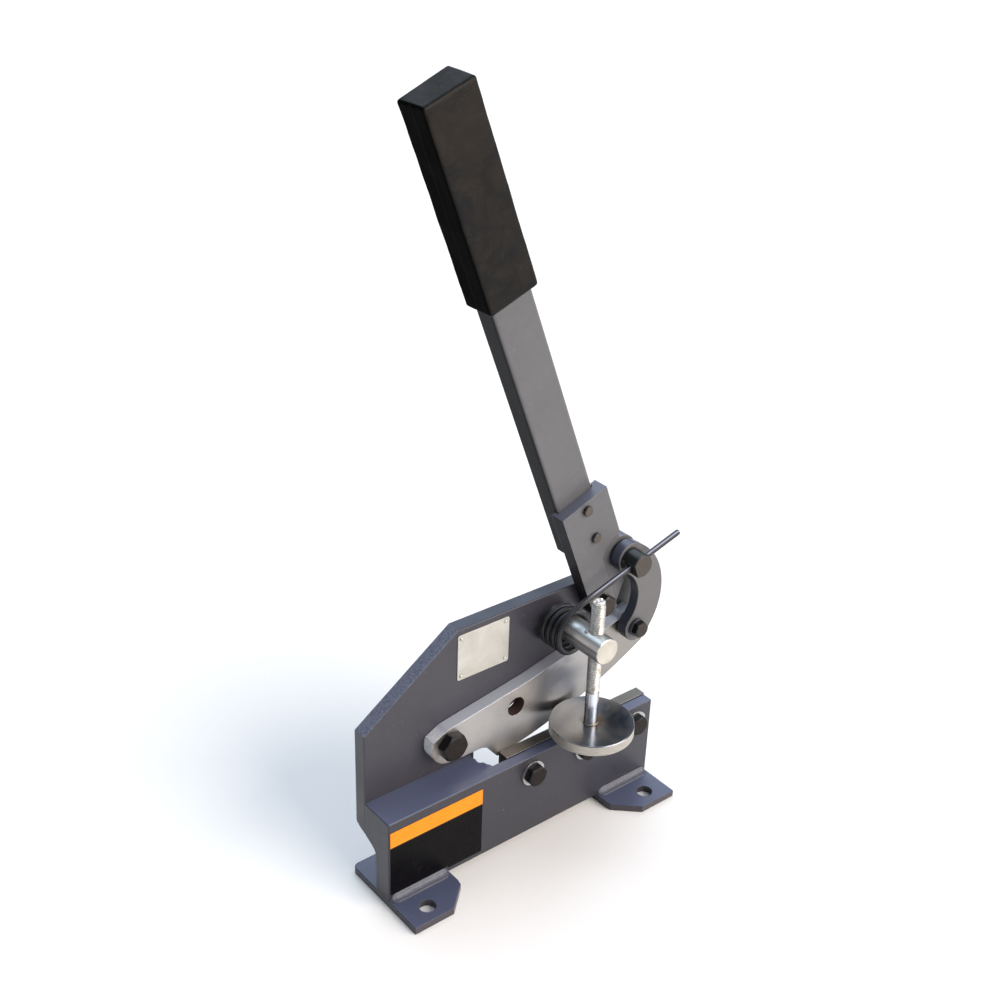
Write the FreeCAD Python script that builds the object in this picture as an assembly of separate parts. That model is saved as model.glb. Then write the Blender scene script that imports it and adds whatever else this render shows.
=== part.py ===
import FreeCAD, Part
import math
import os

# Hand lever shear: fixed bench machine, millimetres, +Z up.
# Shop frame used below: X along the jaw from its left end, Y from the jaw's
# front face towards the back, Z from the ground. ORIGIN moves it so that the
# part's own origin is the middle of the four foot holes, on the ground.
V = FreeCAD.Vector

# ---- driving dimensions -------------------------------------------------
JAW_LENGTH = 270.0
JAW_TOP = 80.5
JAW_THICK = 17.0
SEAT_Y = 9.6            # front-to-seat distance of the lower blade
SEAT_Z = 46.6
SEAT_X = 104.0
BLADE_LENGTH = 150.0
BLADE_THICK = 10.0
BLADE_HEIGHT = 35.0
BLADE_BOLT_X = (139.0, 195.0, 251.0)
BLADE_BOLT_Z = 65.0
PLATE_Y = 31.3          # front face of the upper plate
PLATE_THICK = 13.0
PLATE_TOP = 203.3
PLATE_LEFT_TOP = 142.0
PLATE_CORNER_X = 86.0
PLATE_NOSE_R = 24.0
THROAT_Z = 90.0
EDGE_R = 1.1            # painted plate edges
LINK_EDGE_R = 0.7

FOOT_WIDTH = 57.0
FOOT_FRONT = -35.0
FOOT_BACK = 51.0
FOOT_THICK = 6.0
FOOT_CHAMFER = 18.0
HOLE_DX = 228.0
HOLE_DY = 58.0
HOLE_R = 6.75
WELD_LEG = 6.0

ARM_Y = 19.9            # front face of the blade arm
ARM_THICK = 11.0
O_X, O_Z = 71.5, 111.5  # arm pivot
ARM_EYE_R = 17.4

P_X, P_Z = 220.0, 185.3  # lever pivot
LINK_IN_R = 31.0        # both link edges run round the lever pivot at rest
LINK_OUT_R = 57.6
LINK_A_DEG = 65.3       # pin end of the link, seen from the lever pivot
LINK_B_DEG = -41.3      # bolt end
A_X, A_Z = 238.3, 225.0  # link pin
B_X, B_Z = 250.9, 156.9  # link bolt
LINK_THICK = 11.2
FRONT_LINK_THICK = 9.4
LINK_TIP_R = 12.1       # the link's rounded pin end, from the pin's centre
FRONT_LINK_Y = 8.3
REAR_LINK_Y = 31.4
PIN_R = 10.0
PIN_FRONT = -7.0
ARM_LINK_HOLE_R = 4.1  # arm's end hole between the two links

HANDLE_DEG = 111.8
LEVER_BACK = 31.0
WEB_Y = 17.3
LOBE_Y = 19.9
WEB_THICK = 10.0
SOCKET_P = (262.2, 308.6)
SOCKET_TOP = 191.5
TUBE_P = (265.6, 302.6)
TUBE_DEPTH = 20.0
TUBE_BOTTOM = 143.0
TUBE_WALL = 2.5
GRIP_P = (262.9, 307.0)
GRIP_S = (378.5, 535.0)
GRIP_Y = (24.2, 53.2)

BAR_X, BAR_Z = 183.0, 179.0
BAR_R = 11.0
BAR_FRONT = -30.0
SCREW_X, SCREW_Y = 184.0, -16.0
SCREW_TOP = 218.3
SCREW_R = 5.5
THREAD_R = 5.0
FOOT_DISC_R = 34.2
FOOT_DISC_Z = (96.3, 105.3)
FOOT_DISC_OFF = (1.0, -0.5)  # the disc sits a little off the screw's axis

COIL_X, COIL_Z = 181.2, 177.5  # the coil hangs loosely, off the bar's axis
COIL_R = 16.8
WIRE_R = 2.4
COIL_PITCH = 6.15
COIL_LEFT_Y = 6.0       # where the first turn passes the left side
COIL_SAG = 0.03         # the loose coil leans down towards its back end

ORIGIN = V(-JAW_LENGTH / 2.0, -(FOOT_FRONT + FOOT_BACK) / 2.0, 0.0)

FIT = 0.05              # radial running fit at pins
h = (math.cos(math.radians(HANDLE_DEG)), math.sin(math.radians(HANDLE_DEG)))
n = (h[1], -h[0])       # across the handle, to the right


def on_p(deg, r):
    a = math.radians(deg)
    return (P_X + r * math.cos(a), P_Z + r * math.sin(a))


LINK_MID_R = (LINK_IN_R + LINK_OUT_R) / 2.0
LINK_END_R = (LINK_OUT_R - LINK_IN_R) / 2.0


# ---- helpers ------------------------------------------------------------
def ps(p, s):
    """Point from handle coordinates (p across, s along) in X, Z."""
    return (p * n[0] + s * h[0], p * n[1] + s * h[1])


def prism(points, y0, y1):
    """Closed X-Z outline pushed from y0 to y1. An entry is a point, or
    ("arc", middle, end) for a circular arc from the point before it."""
    edges = []
    here = points[0]
    for item in list(points[1:]) + [points[0]]:
        if item[0] == "arc":
            mid, end = item[1], item[2]
            edges.append(Part.Arc(V(here[0], y0, here[1]), V(mid[0], y0, mid[1]), V(end[0], y0, end[1])).toShape())
            here = end
        else:
            if math.hypot(item[0] - here[0], item[1] - here[1]) > 1e-6:
                edges.append(Part.makeLine(V(here[0], y0, here[1]), V(item[0], y0, item[1])))
            here = item
    face = Part.Face(Part.Wire(edges))
    return face.extrude(V(0, y1 - y0, 0))


def cyl_y(x, z, r, y0, y1):
    return Part.makeCylinder(r, y1 - y0, V(x, y0, z), V(0, 1, 0))


def cyl_z(x, y, r, z0, z1):
    return Part.makeCylinder(r, z1 - z0, V(x, y, z0), V(0, 0, 1))


def cone_y(x, z, r0, r1, y0, y1):
    return Part.makeCone(r0, r1, y1 - y0, V(x, y0, z), V(0, 1, 0))


def hexagon_y(x, z, flats, y0, y1, turn):
    r = flats / math.sqrt(3.0)
    pts = [(x + r * math.cos(math.radians(turn + 60 * i)), z + r * math.sin(math.radians(turn + 60 * i))) for i in range(6)]
    return prism(pts, y0, y1)


def hex_head(x, z, flats, y0, y1, turn, crown):
    """Hexagon along Y with its corners turned off at the crown end (-1 front, +1 back)."""
    body = hexagon_y(x, z, flats, y0, y1, turn)
    r = flats / math.sqrt(3.0)
    rc = flats / 2.0 * 0.96
    slope = (r - rc) * 0.55
    if crown < 0:
        cut = cone_y(x, z, rc, r + 0.01, y0, y0 + slope).fuse(cyl_y(x, z, r + 0.01, y0 + slope, y1))
    else:
        cut = cyl_y(x, z, r + 0.01, y0, y1 - slope).fuse(cone_y(x, z, r + 0.01, rc, y1 - slope, y1))
    return body.common(cut)


def one(shape):
    shape = shape.removeSplitter()
    if len(shape.Solids) == 1:
        shape = shape.Solids[0]
    return shape


def soften(shape, r, pick):
    """Rounds the edges that pick() accepts."""
    return shape.makeFillet(r, [e for e in shape.Edges if pick(e)])


def ring_y(x, z, r_in, r_out, y0, y1):
    return cyl_y(x, z, r_out, y0, y1).cut(cyl_y(x, z, r_in, y0 - 1, y1 + 1))


parts = {}

# ---- frame --------------------------------------------------------------
PLATE_BACK = PLATE_Y + PLATE_THICK

# crank profile seen from the left end (Y, Z): lower rear edge of the body
crank = [(JAW_THICK, 38.0), (18.6, 43.2), (25.2, 47.6), (PLATE_Y, 50.4)]


def crank_face(x, pts):
    edges = []
    for a, b in zip(pts, pts[1:] + pts[:1]):
        edges.append(Part.makeLine(V(x, a[0], a[1]), V(x, b[0], b[1])))
    return Part.Face(Part.Wire(edges))


curve = Part.BSplineCurve()
curve.interpolate([V(0, y, z) for y, z in crank])
edges = [
    curve.toShape(),
    Part.makeLine(V(0, PLATE_Y, crank[-1][1]), V(0, PLATE_Y, JAW_TOP)),
    Part.makeLine(V(0, PLATE_Y, JAW_TOP), V(0, JAW_THICK - 5.0, JAW_TOP)),
    Part.makeLine(V(0, JAW_THICK - 5.0, JAW_TOP), V(0, JAW_THICK - 5.0, crank[0][1])),
    Part.makeLine(V(0, JAW_THICK - 5.0, crank[0][1]), V(0, JAW_THICK, crank[0][1])),
]
step = Part.Face(Part.Wire(edges)).extrude(V(SEAT_X + 1.2, 0, 0))
jaw = Part.makeBox(JAW_LENGTH, JAW_THICK, JAW_TOP - FOOT_THICK, V(0, 0, FOOT_THICK)).fuse(step)
# blade seat, with the ragged torch-cut end of the step
rag = Part.BSplineCurve()
rag.interpolate([V(x, y, SEAT_Z) for x, y in ((105.4, SEAT_Y), (105.0, 12.0), (103.4, 14.6), (102.9, 17.0), (99.9, 19.2), (99.4, 22.0), (99.9, 24.6), (99.0, 27.4), (99.6, 30.0), (99.2, 33.5))])
edges = [
    rag.toShape(),
    Part.makeLine(V(99.2, 33.5, SEAT_Z), V(JAW_LENGTH + 5, 33.5, SEAT_Z)),
    Part.makeLine(V(JAW_LENGTH + 5, 33.5, SEAT_Z), V(JAW_LENGTH + 5, SEAT_Y, SEAT_Z)),
    Part.makeLine(V(JAW_LENGTH + 5, SEAT_Y, SEAT_Z), V(105.4, SEAT_Y, SEAT_Z)),
]
jaw = jaw.cut(Part.Face(Part.Wire(edges)).extrude(V(0, 0, 60)))
for x in BLADE_BOLT_X:
    jaw = jaw.cut(cyl_y(x, BLADE_BOLT_Z, 5.5, -1, JAW_THICK + 1))
jaw = one(jaw)


def jaw_edge(e):
    b = e.BoundBox
    front = b.YMax < 0.01
    top = b.ZMin > JAW_TOP - 0.01
    left = b.XMax < 0.01
    right = b.XMin > JAW_LENGTH - 0.01
    upright = b.ZLength > 30.0
    return (front and top) or (front and upright and (left or right)) or (top and (left or right) and b.YMin < 0.01)


parts["lower_jaw"] = one(soften(jaw, EDGE_R, jaw_edge))

# upper plate: tangent from the throat to the round nose about the lever pivot
tx, tz = SEAT_X, THROAT_Z
dx, dz = P_X - tx, P_Z - tz
dist = math.hypot(dx, dz)
ang = math.atan2(dz, dx) - math.asin(PLATE_NOSE_R / dist)
reach = math.sqrt(dist ** 2 - PLATE_NOSE_R ** 2)
tan_pt = (tx + reach * math.cos(ang), tz + reach * math.sin(ang))
nose_top_z = PLATE_TOP
nose_top_x = P_X + math.sqrt(PLATE_NOSE_R ** 2 - (PLATE_TOP - P_Z) ** 2)
nose = (P_X + PLATE_NOSE_R, P_Z)
outline = [
    (0.0, 50.4),
    (0.0, PLATE_LEFT_TOP),
    (PLATE_CORNER_X, PLATE_TOP),
    (nose_top_x, nose_top_z),
    ("arc", nose, tan_pt),
    (tx, tz),
    (SEAT_X, 50.4),
]
plate = soften(prism(outline, PLATE_Y, PLATE_BACK), EDGE_R, lambda e: e.BoundBox.YLength < 0.01 and e.BoundBox.ZMax > 50.5)
# rear lower edge of the crank carried through the plate
low = [(PLATE_Y - 1.0, 50.0), (PLATE_Y, 50.4), (38.8, 53.2), (42.8, 55.6), (PLATE_BACK, 58.4), (PLATE_BACK + 1, 59.4), (PLATE_BACK + 1, 40.0), (PLATE_Y - 1.0, 40.0)]
plate = plate.cut(crank_face(-1.0, low).extrude(V(JAW_LENGTH, 0, 0)))
for x, z, r in ((O_X, O_Z, 7.0 + FIT), (P_X, P_Z, 6.0 + FIT), (BAR_X, BAR_Z, 8.0 + FIT)):
    plate = plate.cut(cyl_y(x, z, r, PLATE_Y - 1, PLATE_BACK + 1))
parts["upper_plate"] = one(plate)


# ---- feet ---------------------------------------------------------------
def foot(side):
    c = FOOT_CHAMFER
    w = FOOT_WIDTH
    rr = 5.0
    k = rr * (1 - math.sqrt(0.5))
    pts = [
        (0.0, FOOT_FRONT), (w - c - 3.0, FOOT_FRONT), (w - 1.0, FOOT_FRONT + c), (w, FOOT_FRONT + c + 5.0),
        (w, FOOT_BACK - c), (w - c, FOOT_BACK), (rr, FOOT_BACK), ("arc", (k, FOOT_BACK - k), (0.0, FOOT_BACK - rr)),
    ]
    edges = []
    here = pts[0]
    for item in pts[1:] + [pts[0]]:
        if item[0] == "arc":
            edges.append(Part.Arc(V(here[0], here[1], 0), V(item[1][0], item[1][1], 0), V(item[2][0], item[2][1], 0)).toShape())
            here = item[2]
        else:
            edges.append(Part.makeLine(V(here[0], here[1], 0), V(item[0], item[1], 0)))
            here = item
    shape = Part.Face(Part.Wire(edges)).extrude(V(0, 0, FOOT_THICK))
    shape = soften(shape, 0.8, lambda e: e.BoundBox.ZMin > FOOT_THICK - 0.01 and e.BoundBox.XMax > 1.0 and e.BoundBox.XMin > 4.0)
    hx = JAW_LENGTH / 2.0 - HOLE_DX / 2.0
    mid = (FOOT_FRONT + FOOT_BACK) / 2.0
    for y in (mid - HOLE_DY / 2.0, mid + HOLE_DY / 2.0):
        shape = shape.cut(cyl_z(hx, y, HOLE_R, -1, FOOT_THICK + 1))
    if side > 0:
        shape = shape.mirror(V(JAW_LENGTH / 2.0, 0, 0), V(1, 0, 0))
    return one(shape)


parts["left_foot"] = foot(-1)
parts["right_foot"] = foot(1)


def weld(x0, x1, y, back):
    s = 1.0 if back else -1.0
    a = V(x0, y, FOOT_THICK)
    pts = [a, V(x0, y + s * WELD_LEG, FOOT_THICK), V(x0, y, FOOT_THICK + WELD_LEG), a]
    return Part.Face(Part.makePolygon(pts)).extrude(V(x1 - x0, 0, 0))


parts["left_weld_front"] = weld(1.0, FOOT_WIDTH - 1.0, 0.0, False)
parts["right_weld_front"] = weld(JAW_LENGTH - FOOT_WIDTH + 1.0, JAW_LENGTH - 1.0, 0.0, False)
parts["left_weld_rear"] = weld(1.0, FOOT_WIDTH - 1.0, JAW_THICK, True)
parts["right_weld_rear"] = weld(JAW_LENGTH - FOOT_WIDTH + 1.0, JAW_LENGTH - 1.0, JAW_THICK, True)

# ---- lower blade and its bolts -----------------------------------------
bx0 = JAW_LENGTH - BLADE_LENGTH
blade = Part.makeBox(BLADE_LENGTH, BLADE_THICK, BLADE_HEIGHT, V(bx0, SEAT_Y, SEAT_Z))
for x in BLADE_BOLT_X:
    blade = blade.cut(cyl_y(x, BLADE_BOLT_Z, 5.0, SEAT_Y - 1, SEAT_Y + BLADE_THICK + 1))
parts["lower_blade"] = one(blade)
for x, name, turn in zip(BLADE_BOLT_X, ("left", "middle", "right"), (8.0, 22.0, 15.0)):
    head = hex_head(x, BLADE_BOLT_Z, 17.0, -8.4, -2.0, turn, -1)
    shank = cyl_y(x, BLADE_BOLT_Z, 4.95, -2.0, SEAT_Y + BLADE_THICK - 1.0)
    parts["blade_bolt_" + name] = one(head.fuse(shank))
    parts["blade_washer_" + name] = ring_y(x, BLADE_BOLT_Z, 5.3, 11.0, -2.0, 0.0)

# ---- blade arm ----------------------------------------------------------
ARM_BACK = ARM_Y + ARM_THICK
arm_top = [(62.3, 122.3), (68.5, 125.2), (80.0, 127.2), (110.0, 132.0), (150.0, 138.7), (243.5, 160.4)]
edge = []
for x in (118.5, 146.5, 174.0, 198.0, 222.0, 246.0, 270.5):
    u = x - 146.5
    edge.append((x, 82.8 + 0.208 * u + 0.00143 * u * u))
curve = Part.BSplineCurve()
curve.interpolate([V(x, ARM_Y, z) for x, z in edge])
edges = [curve.toShape()]
# rounded eye with a flat ground across its upper left
nose = (O_X + ARM_EYE_R * math.cos(math.radians(156.0)), O_Z + ARM_EYE_R * math.sin(math.radians(156.0)))
left = (O_X + ARM_EYE_R * math.cos(math.radians(210.0)), O_Z + ARM_EYE_R * math.sin(math.radians(210.0)))
under = (O_X + ARM_EYE_R * math.cos(math.radians(268.0)), O_Z + ARM_EYE_R * math.sin(math.radians(268.0)))
chain = [edge[-1], (272.0, 134.0), (268.5, 157.0), (256.0, 168.0), (246.5, 165.0)] + arm_top[::-1] + [nose]
for a, b in zip(chain, chain[1:]):
    edges.append(Part.makeLine(V(a[0], ARM_Y, a[1]), V(b[0], ARM_Y, b[1])))
edges.append(Part.Arc(V(nose[0], ARM_Y, nose[1]), V(left[0], ARM_Y, left[1]), V(under[0], ARM_Y, under[1])).toShape())
chain = [under, (84.5, 93.4), (102.5, 93.2), (107.3, 91.5), edge[0]]
for a, b in zip(chain, chain[1:]):
    edges.append(Part.makeLine(V(a[0], ARM_Y, a[1]), V(b[0], ARM_Y, b[1])))
arm = Part.Face(Part.Wire(edges)).extrude(V(0, ARM_THICK, 0))
arm = arm.cut(cyl_y(O_X, O_Z, 7.0 + FIT, ARM_Y - 1, ARM_BACK + 1))
arm = arm.cut(cyl_y(136.2, 118.8, 8.3, ARM_Y - 1, ARM_BACK + 1))
arm = arm.cut(cyl_y(B_X, B_Z, ARM_LINK_HOLE_R, ARM_Y - 1, ARM_BACK + 1))
parts["blade_arm"] = one(arm)

# ---- pivots -------------------------------------------------------------
bolt = hex_head(O_X, O_Z, 21.0, ARM_Y - 8.6, ARM_Y - 0.1, 50.0, -1)
bolt = bolt.fuse(cyl_y(O_X, O_Z, 7.0, ARM_Y - 0.2, PLATE_BACK + 13.0))
parts["arm_pivot_bolt"] = one(bolt)
parts["arm_pivot_nut"] = one(hex_head(O_X, O_Z, 21.0, PLATE_BACK, PLATE_BACK + 11.0, 20.0, 1).cut(cyl_y(O_X, O_Z, 7.0, PLATE_BACK - 1, PLATE_BACK + 12)))
bolt = hex_head(P_X, P_Z, 17.0, WEB_Y - 7.2, WEB_Y - 0.2, 30.0, -1)
bolt = bolt.fuse(cyl_y(P_X, P_Z, 6.0, WEB_Y - 0.3, PLATE_BACK + 12.0))
parts["lever_pivot_bolt"] = one(bolt)
parts["lever_pivot_nut"] = one(hex_head(P_X, P_Z, 18.0, PLATE_BACK, PLATE_BACK + 10.0, 10.0, 1).cut(cyl_y(P_X, P_Z, 6.0, PLATE_BACK - 1, PLATE_BACK + 11)))

# ---- lever casting ------------------------------------------------------
px, pz = P_X, P_Z
p_of = lambda x, z: x * n[0] + z * n[1]
s_of = lambda x, z: x * h[0] + z * h[1]
Pp, Ps = p_of(P_X, P_Z), s_of(P_X, P_Z)
Ap, As = p_of(A_X, A_Z), s_of(A_X, A_Z)
end_r = 15.0
end_p, end_s = SOCKET_P[0] + end_r, Ps - 1.0
LOBE_R = 15.7
# outline: socket left edge, rounded lower end, right side up to the lobe
d_p, d_s = Ap - end_p, As - end_s
gap = math.hypot(d_p, d_s)
base = math.atan2(d_s, d_p)
turn = math.acos((end_r - LOBE_R) / gap)
t_ang = base - turn
low_t = ps(end_p + end_r * math.cos(t_ang), end_s + end_r * math.sin(t_ang))
high_t = ps(Ap + LOBE_R * math.cos(t_ang), As + LOBE_R * math.sin(t_ang))
lobe_top_s = As + math.sqrt(LOBE_R ** 2 - (SOCKET_P[1] - Ap) ** 2)
lobe_out = ps(Ap + LOBE_R * math.cos(math.radians(20.0)), As + LOBE_R * math.sin(math.radians(20.0)))
outline = [
    ps(SOCKET_P[0], SOCKET_TOP), ps(SOCKET_P[0], end_s),
    ("arc", ps(end_p + end_r * math.cos(math.radians(225.0)), end_s + end_r * math.sin(math.radians(225.0))), ps(end_p, end_s - end_r)),
    ("arc", ps(end_p + end_r * math.cos(math.radians((math.degrees(t_ang) - 90.0) / 2.0)), end_s + end_r * math.sin(math.radians((math.degrees(t_ang) - 90.0) / 2.0))), low_t),
    high_t,
    ("arc", lobe_out, ps(SOCKET_P[1], lobe_top_s)),
    ps(SOCKET_P[1], SOCKET_TOP),
]
lever = prism(outline, WEB_Y, LEVER_BACK)
# lobe face sunk below the web, with room for the front link's eye
pocket = prism([ps(285.7, 40.0), ps(285.7, 130.0), ps(Ap, 130.0), ps(360.0, 130.0), ps(360.0, 40.0)], WEB_Y - 1, LOBE_Y)
pocket = pocket.fuse(cyl_y(A_X, A_Z, 22.0, WEB_Y - 1, LOBE_Y))
keep = prism([ps(200.0, 20.0), ps(285.7, 20.0), ps(285.7, 170.0), ps(200.0, 170.0)], WEB_Y - 2, LOBE_Y + 1)
lever = lever.cut(pocket.cut(keep))
# channel for the handle tube at the back
lever = lever.cut(prism([ps(TUBE_P[0] - 0.1, TUBE_BOTTOM), ps(TUBE_P[1] + 0.1, TUBE_BOTTOM), ps(TUBE_P[1] + 0.1, 260.0), ps(TUBE_P[0] - 0.1, 260.0)], WEB_Y + WEB_THICK, LEVER_BACK + 1))
lever = lever.cut(cyl_y(P_X, P_Z, 6.0 + FIT, 0, 60)).cut(cyl_y(A_X, A_Z, PIN_R + FIT, 0, 60))
tube_mid = (TUBE_P[0] + TUBE_P[1]) / 2.0
RIVETS = (ps(tube_mid + 1.3, 184.4), ps(tube_mid + 1.4, 155.4))
for x, z in RIVETS:
    lever = lever.cut(cyl_y(x, z, 3.0, 0, 60))
parts["lever_casting"] = one(lever)

# ---- handle -------------------------------------------------------------
TUBE_Y = (WEB_Y + WEB_THICK, WEB_Y + WEB_THICK + TUBE_DEPTH)


def bar_ps(p0, p1, s0, s1, y0, y1, r):
    """Box along the handle with its four long edges rounded."""
    shape = prism([ps(p0, s0), ps(p1, s0), ps(p1, s1), ps(p0, s1)], y0, y1)
    if r > 0:
        along = V(h[0], 0, h[1])
        picks = [e for e in shape.Edges if abs(abs((e.Vertexes[1].Point - e.Vertexes[0].Point).normalize().dot(along)) - 1) < 1e-6]
        shape = shape.makeFillet(r, picks)
    return shape


tube = bar_ps(TUBE_P[0], TUBE_P[1], TUBE_BOTTOM, GRIP_S[1] - 6.0, TUBE_Y[0], TUBE_Y[1], 3.0)
inner = bar_ps(TUBE_P[0] + TUBE_WALL, TUBE_P[1] - TUBE_WALL, TUBE_BOTTOM - 5, GRIP_S[1], TUBE_Y[0] + TUBE_WALL, TUBE_Y[1] - TUBE_WALL, 1.0)
tube = tube.cut(inner)
for x, z in RIVETS:
    tube = tube.cut(cyl_y(x, z, 3.0, 0, 60))
parts["handle_tube"] = one(tube)
grip = bar_ps(GRIP_P[0], GRIP_P[1], GRIP_S[0], GRIP_S[1], GRIP_Y[0], GRIP_Y[1], 4.0)
grip = grip.cut(bar_ps(TUBE_P[0], TUBE_P[1], GRIP_S[0] - 5, GRIP_S[1] - 6.0, TUBE_Y[0], TUBE_Y[1], 3.0))
parts["rubber_grip"] = one(grip)
for (x, z), name in zip(RIVETS, ("upper", "lower")):
    rivet = cyl_y(x, z, 4.2, WEB_Y - 2.5, WEB_Y).fuse(cone_y(x, z, 3.7, 4.2, WEB_Y - 3.0, WEB_Y - 2.5))
    rivet = rivet.fuse(cyl_y(x, z, 2.95, WEB_Y - 0.5, TUBE_Y[1] + 0.5)).fuse(cyl_y(x, z, 4.6, TUBE_Y[1], TUBE_Y[1] + 1.6))
    parts["handle_rivet_" + name] = one(rivet)


# ---- links --------------------------------------------------------------
def link(y0, y1, hole_a, hole_b):
    a_mid, b_mid = LINK_A_DEG, LINK_B_DEG
    m = (a_mid + b_mid) / 2.0
    ea = math.radians(a_mid)
    eb = math.radians(b_mid)
    ca, cb = on_p(a_mid, LINK_MID_R), on_p(b_mid, LINK_MID_R)
    tip_a = (ca[0] - LINK_TIP_R * math.sin(ea), ca[1] + LINK_TIP_R * math.cos(ea))
    tip_b = (cb[0] + LINK_END_R * math.sin(eb), cb[1] - LINK_END_R * math.cos(eb))
    pts = [
        on_p(a_mid, LINK_IN_R), ("arc", tip_a, on_p(a_mid, LINK_OUT_R)),
        ("arc", on_p(m, LINK_OUT_R), on_p(b_mid, LINK_OUT_R)),
        ("arc", tip_b, on_p(b_mid, LINK_IN_R)),
        ("arc", on_p(m, LINK_IN_R), on_p(a_mid, LINK_IN_R)),
    ]
    shape = soften(prism(pts, y0, y1), LINK_EDGE_R, lambda e: e.BoundBox.YLength < 0.01)
    shape = shape.cut(cyl_y(A_X, A_Z, hole_a, y0 - 1, y1 + 1)).cut(cyl_y(B_X, B_Z, hole_b, y0 - 1, y1 + 1))
    return one(shape)


REAR_LINK_BACK = REAR_LINK_Y + LINK_THICK
parts["front_link"] = link(FRONT_LINK_Y, FRONT_LINK_Y + FRONT_LINK_THICK, PIN_R + FIT, 4.05)
parts["rear_link"] = link(REAR_LINK_Y, REAR_LINK_BACK, PIN_R + FIT, 4.05)
parts["link_collar"] = ring_y(B_X, B_Z, 4.1, 7.7, FRONT_LINK_Y - 2.8, FRONT_LINK_Y)
bolt = hex_head(B_X, B_Z, 13.0, FRONT_LINK_Y - 8.4, FRONT_LINK_Y - 2.8, 9.5, -1)
bolt = bolt.fuse(cyl_y(B_X, B_Z, 4.0, FRONT_LINK_Y - 3, FRONT_LINK_Y + FRONT_LINK_THICK))
parts["link_bolt"] = one(bolt)
nut = hex_head(B_X, B_Z, 13.0, REAR_LINK_BACK, REAR_LINK_BACK + 6.5, 12.0, 1)
nut = nut.fuse(cyl_y(B_X, B_Z, 4.0, REAR_LINK_Y, REAR_LINK_BACK + 8.5))
parts["link_nut"] = one(nut)

# spring leg line: through the pin, in front of the front link
LEG_Y = 0.6
LEG_DEG = 21.0
LEAN_Z, LEAN_X = -3.0, 1.2  # the wire's plane leans back towards the coil
leg = (math.cos(math.radians(LEG_DEG)), math.sin(math.radians(LEG_DEG)))
pin = cyl_y(A_X, A_Z, PIN_R, PIN_FRONT + 0.8, REAR_LINK_BACK + 2.0)
pin = pin.fuse(cone_y(A_X, A_Z, PIN_R - 0.8, PIN_R, PIN_FRONT, PIN_FRONT + 0.8))
leg_hole = Part.makeCylinder(WIRE_R + 1.3, 60.0, V(A_X - 30 * leg[0], LEG_Y, A_Z - 30 * leg[1]), V(leg[0], 0, leg[1]))
leg_hole.rotate(V(A_X, LEG_Y, A_Z), V(0, 0, 1), LEAN_Z)
leg_hole.rotate(V(A_X, LEG_Y, A_Z), V(1, 0, 0), LEAN_X)
pin = pin.cut(leg_hole)
# flat on the spring side of the pin's outer end
flat_n = (-leg[0], -leg[1])
fa = math.degrees(math.atan2(flat_n[1], flat_n[0]))
flat = Part.makeBox(10.0, 14.0, 40.0, V(0, 0, -20.0))
flat.rotate(V(0, 0, 0), V(0, 1, 0), -fa)
flat.translate(V(A_X + 7.6 * flat_n[0], PIN_FRONT - 1.0, A_Z + 7.6 * flat_n[1]))
parts["link_pin"] = one(pin.cut(flat))

# ---- hold-down clamp ----------------------------------------------------
bar = cyl_y(BAR_X, BAR_Z, BAR_R, BAR_FRONT + 0.6, PLATE_Y).fuse(cone_y(BAR_X, BAR_Z, BAR_R - 0.6, BAR_R, BAR_FRONT, BAR_FRONT + 0.6))
bar = bar.fuse(cyl_y(BAR_X, BAR_Z, 8.0, PLATE_Y - 1, PLATE_BACK + 10.0))
bar = bar.cut(cyl_z(SCREW_X, SCREW_Y, SCREW_R + FIT, BAR_Z - 30, BAR_Z + 30))
parts["clamp_bar"] = one(bar)
parts["clamp_bar_nut"] = one(hex_head(BAR_X, BAR_Z, 24.0, PLATE_BACK, PLATE_BACK + 8.0, 0.0, 1).cut(cyl_y(BAR_X, BAR_Z, 8.0, PLATE_BACK - 1, PLATE_BACK + 9)))
screw = cyl_z(SCREW_X, SCREW_Y, SCREW_R, FOOT_DISC_Z[0] + 2.5, SCREW_TOP - 1.0)
screw = screw.fuse(Part.makeCone(SCREW_R, SCREW_R - 1.0, 1.0, V(SCREW_X, SCREW_Y, SCREW_TOP - 1.0), V(0, 0, 1)))
screw = screw.cut(Part.makeBox(20.0, 1.6, 3.0, V(SCREW_X - 10.0, SCREW_Y - 0.8, SCREW_TOP - 3.0)))
parts["clamp_screw"] = one(screw)
disc = cyl_z(SCREW_X + FOOT_DISC_OFF[0], SCREW_Y + FOOT_DISC_OFF[1], FOOT_DISC_R, FOOT_DISC_Z[0] + 0.5, FOOT_DISC_Z[1] - 0.6)
disc = disc.fuse(Part.makeCone(FOOT_DISC_R, FOOT_DISC_R - 0.6, 0.6, V(SCREW_X + FOOT_DISC_OFF[0], SCREW_Y + FOOT_DISC_OFF[1], FOOT_DISC_Z[1] - 0.6), V(0, 0, 1)))
disc = disc.fuse(Part.makeCone(FOOT_DISC_R - 0.5, FOOT_DISC_R, 0.5, V(SCREW_X + FOOT_DISC_OFF[0], SCREW_Y + FOOT_DISC_OFF[1], FOOT_DISC_Z[0]), V(0, 0, 1)))
disc = disc.fuse(cyl_z(SCREW_X, SCREW_Y, 6.4, FOOT_DISC_Z[1] - 1, FOOT_DISC_Z[1] + 1.2))
disc = disc.cut(cyl_z(SCREW_X, SCREW_Y, SCREW_R, FOOT_DISC_Z[0] + 2.5, FOOT_DISC_Z[1] + 5))
parts["clamp_foot"] = one(disc)

# ---- return spring ------------------------------------------------------
BREAK_DEG = 320.0       # behind the bar, where the turning leg meets the fixed coil
TURNS = 3.12


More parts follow.
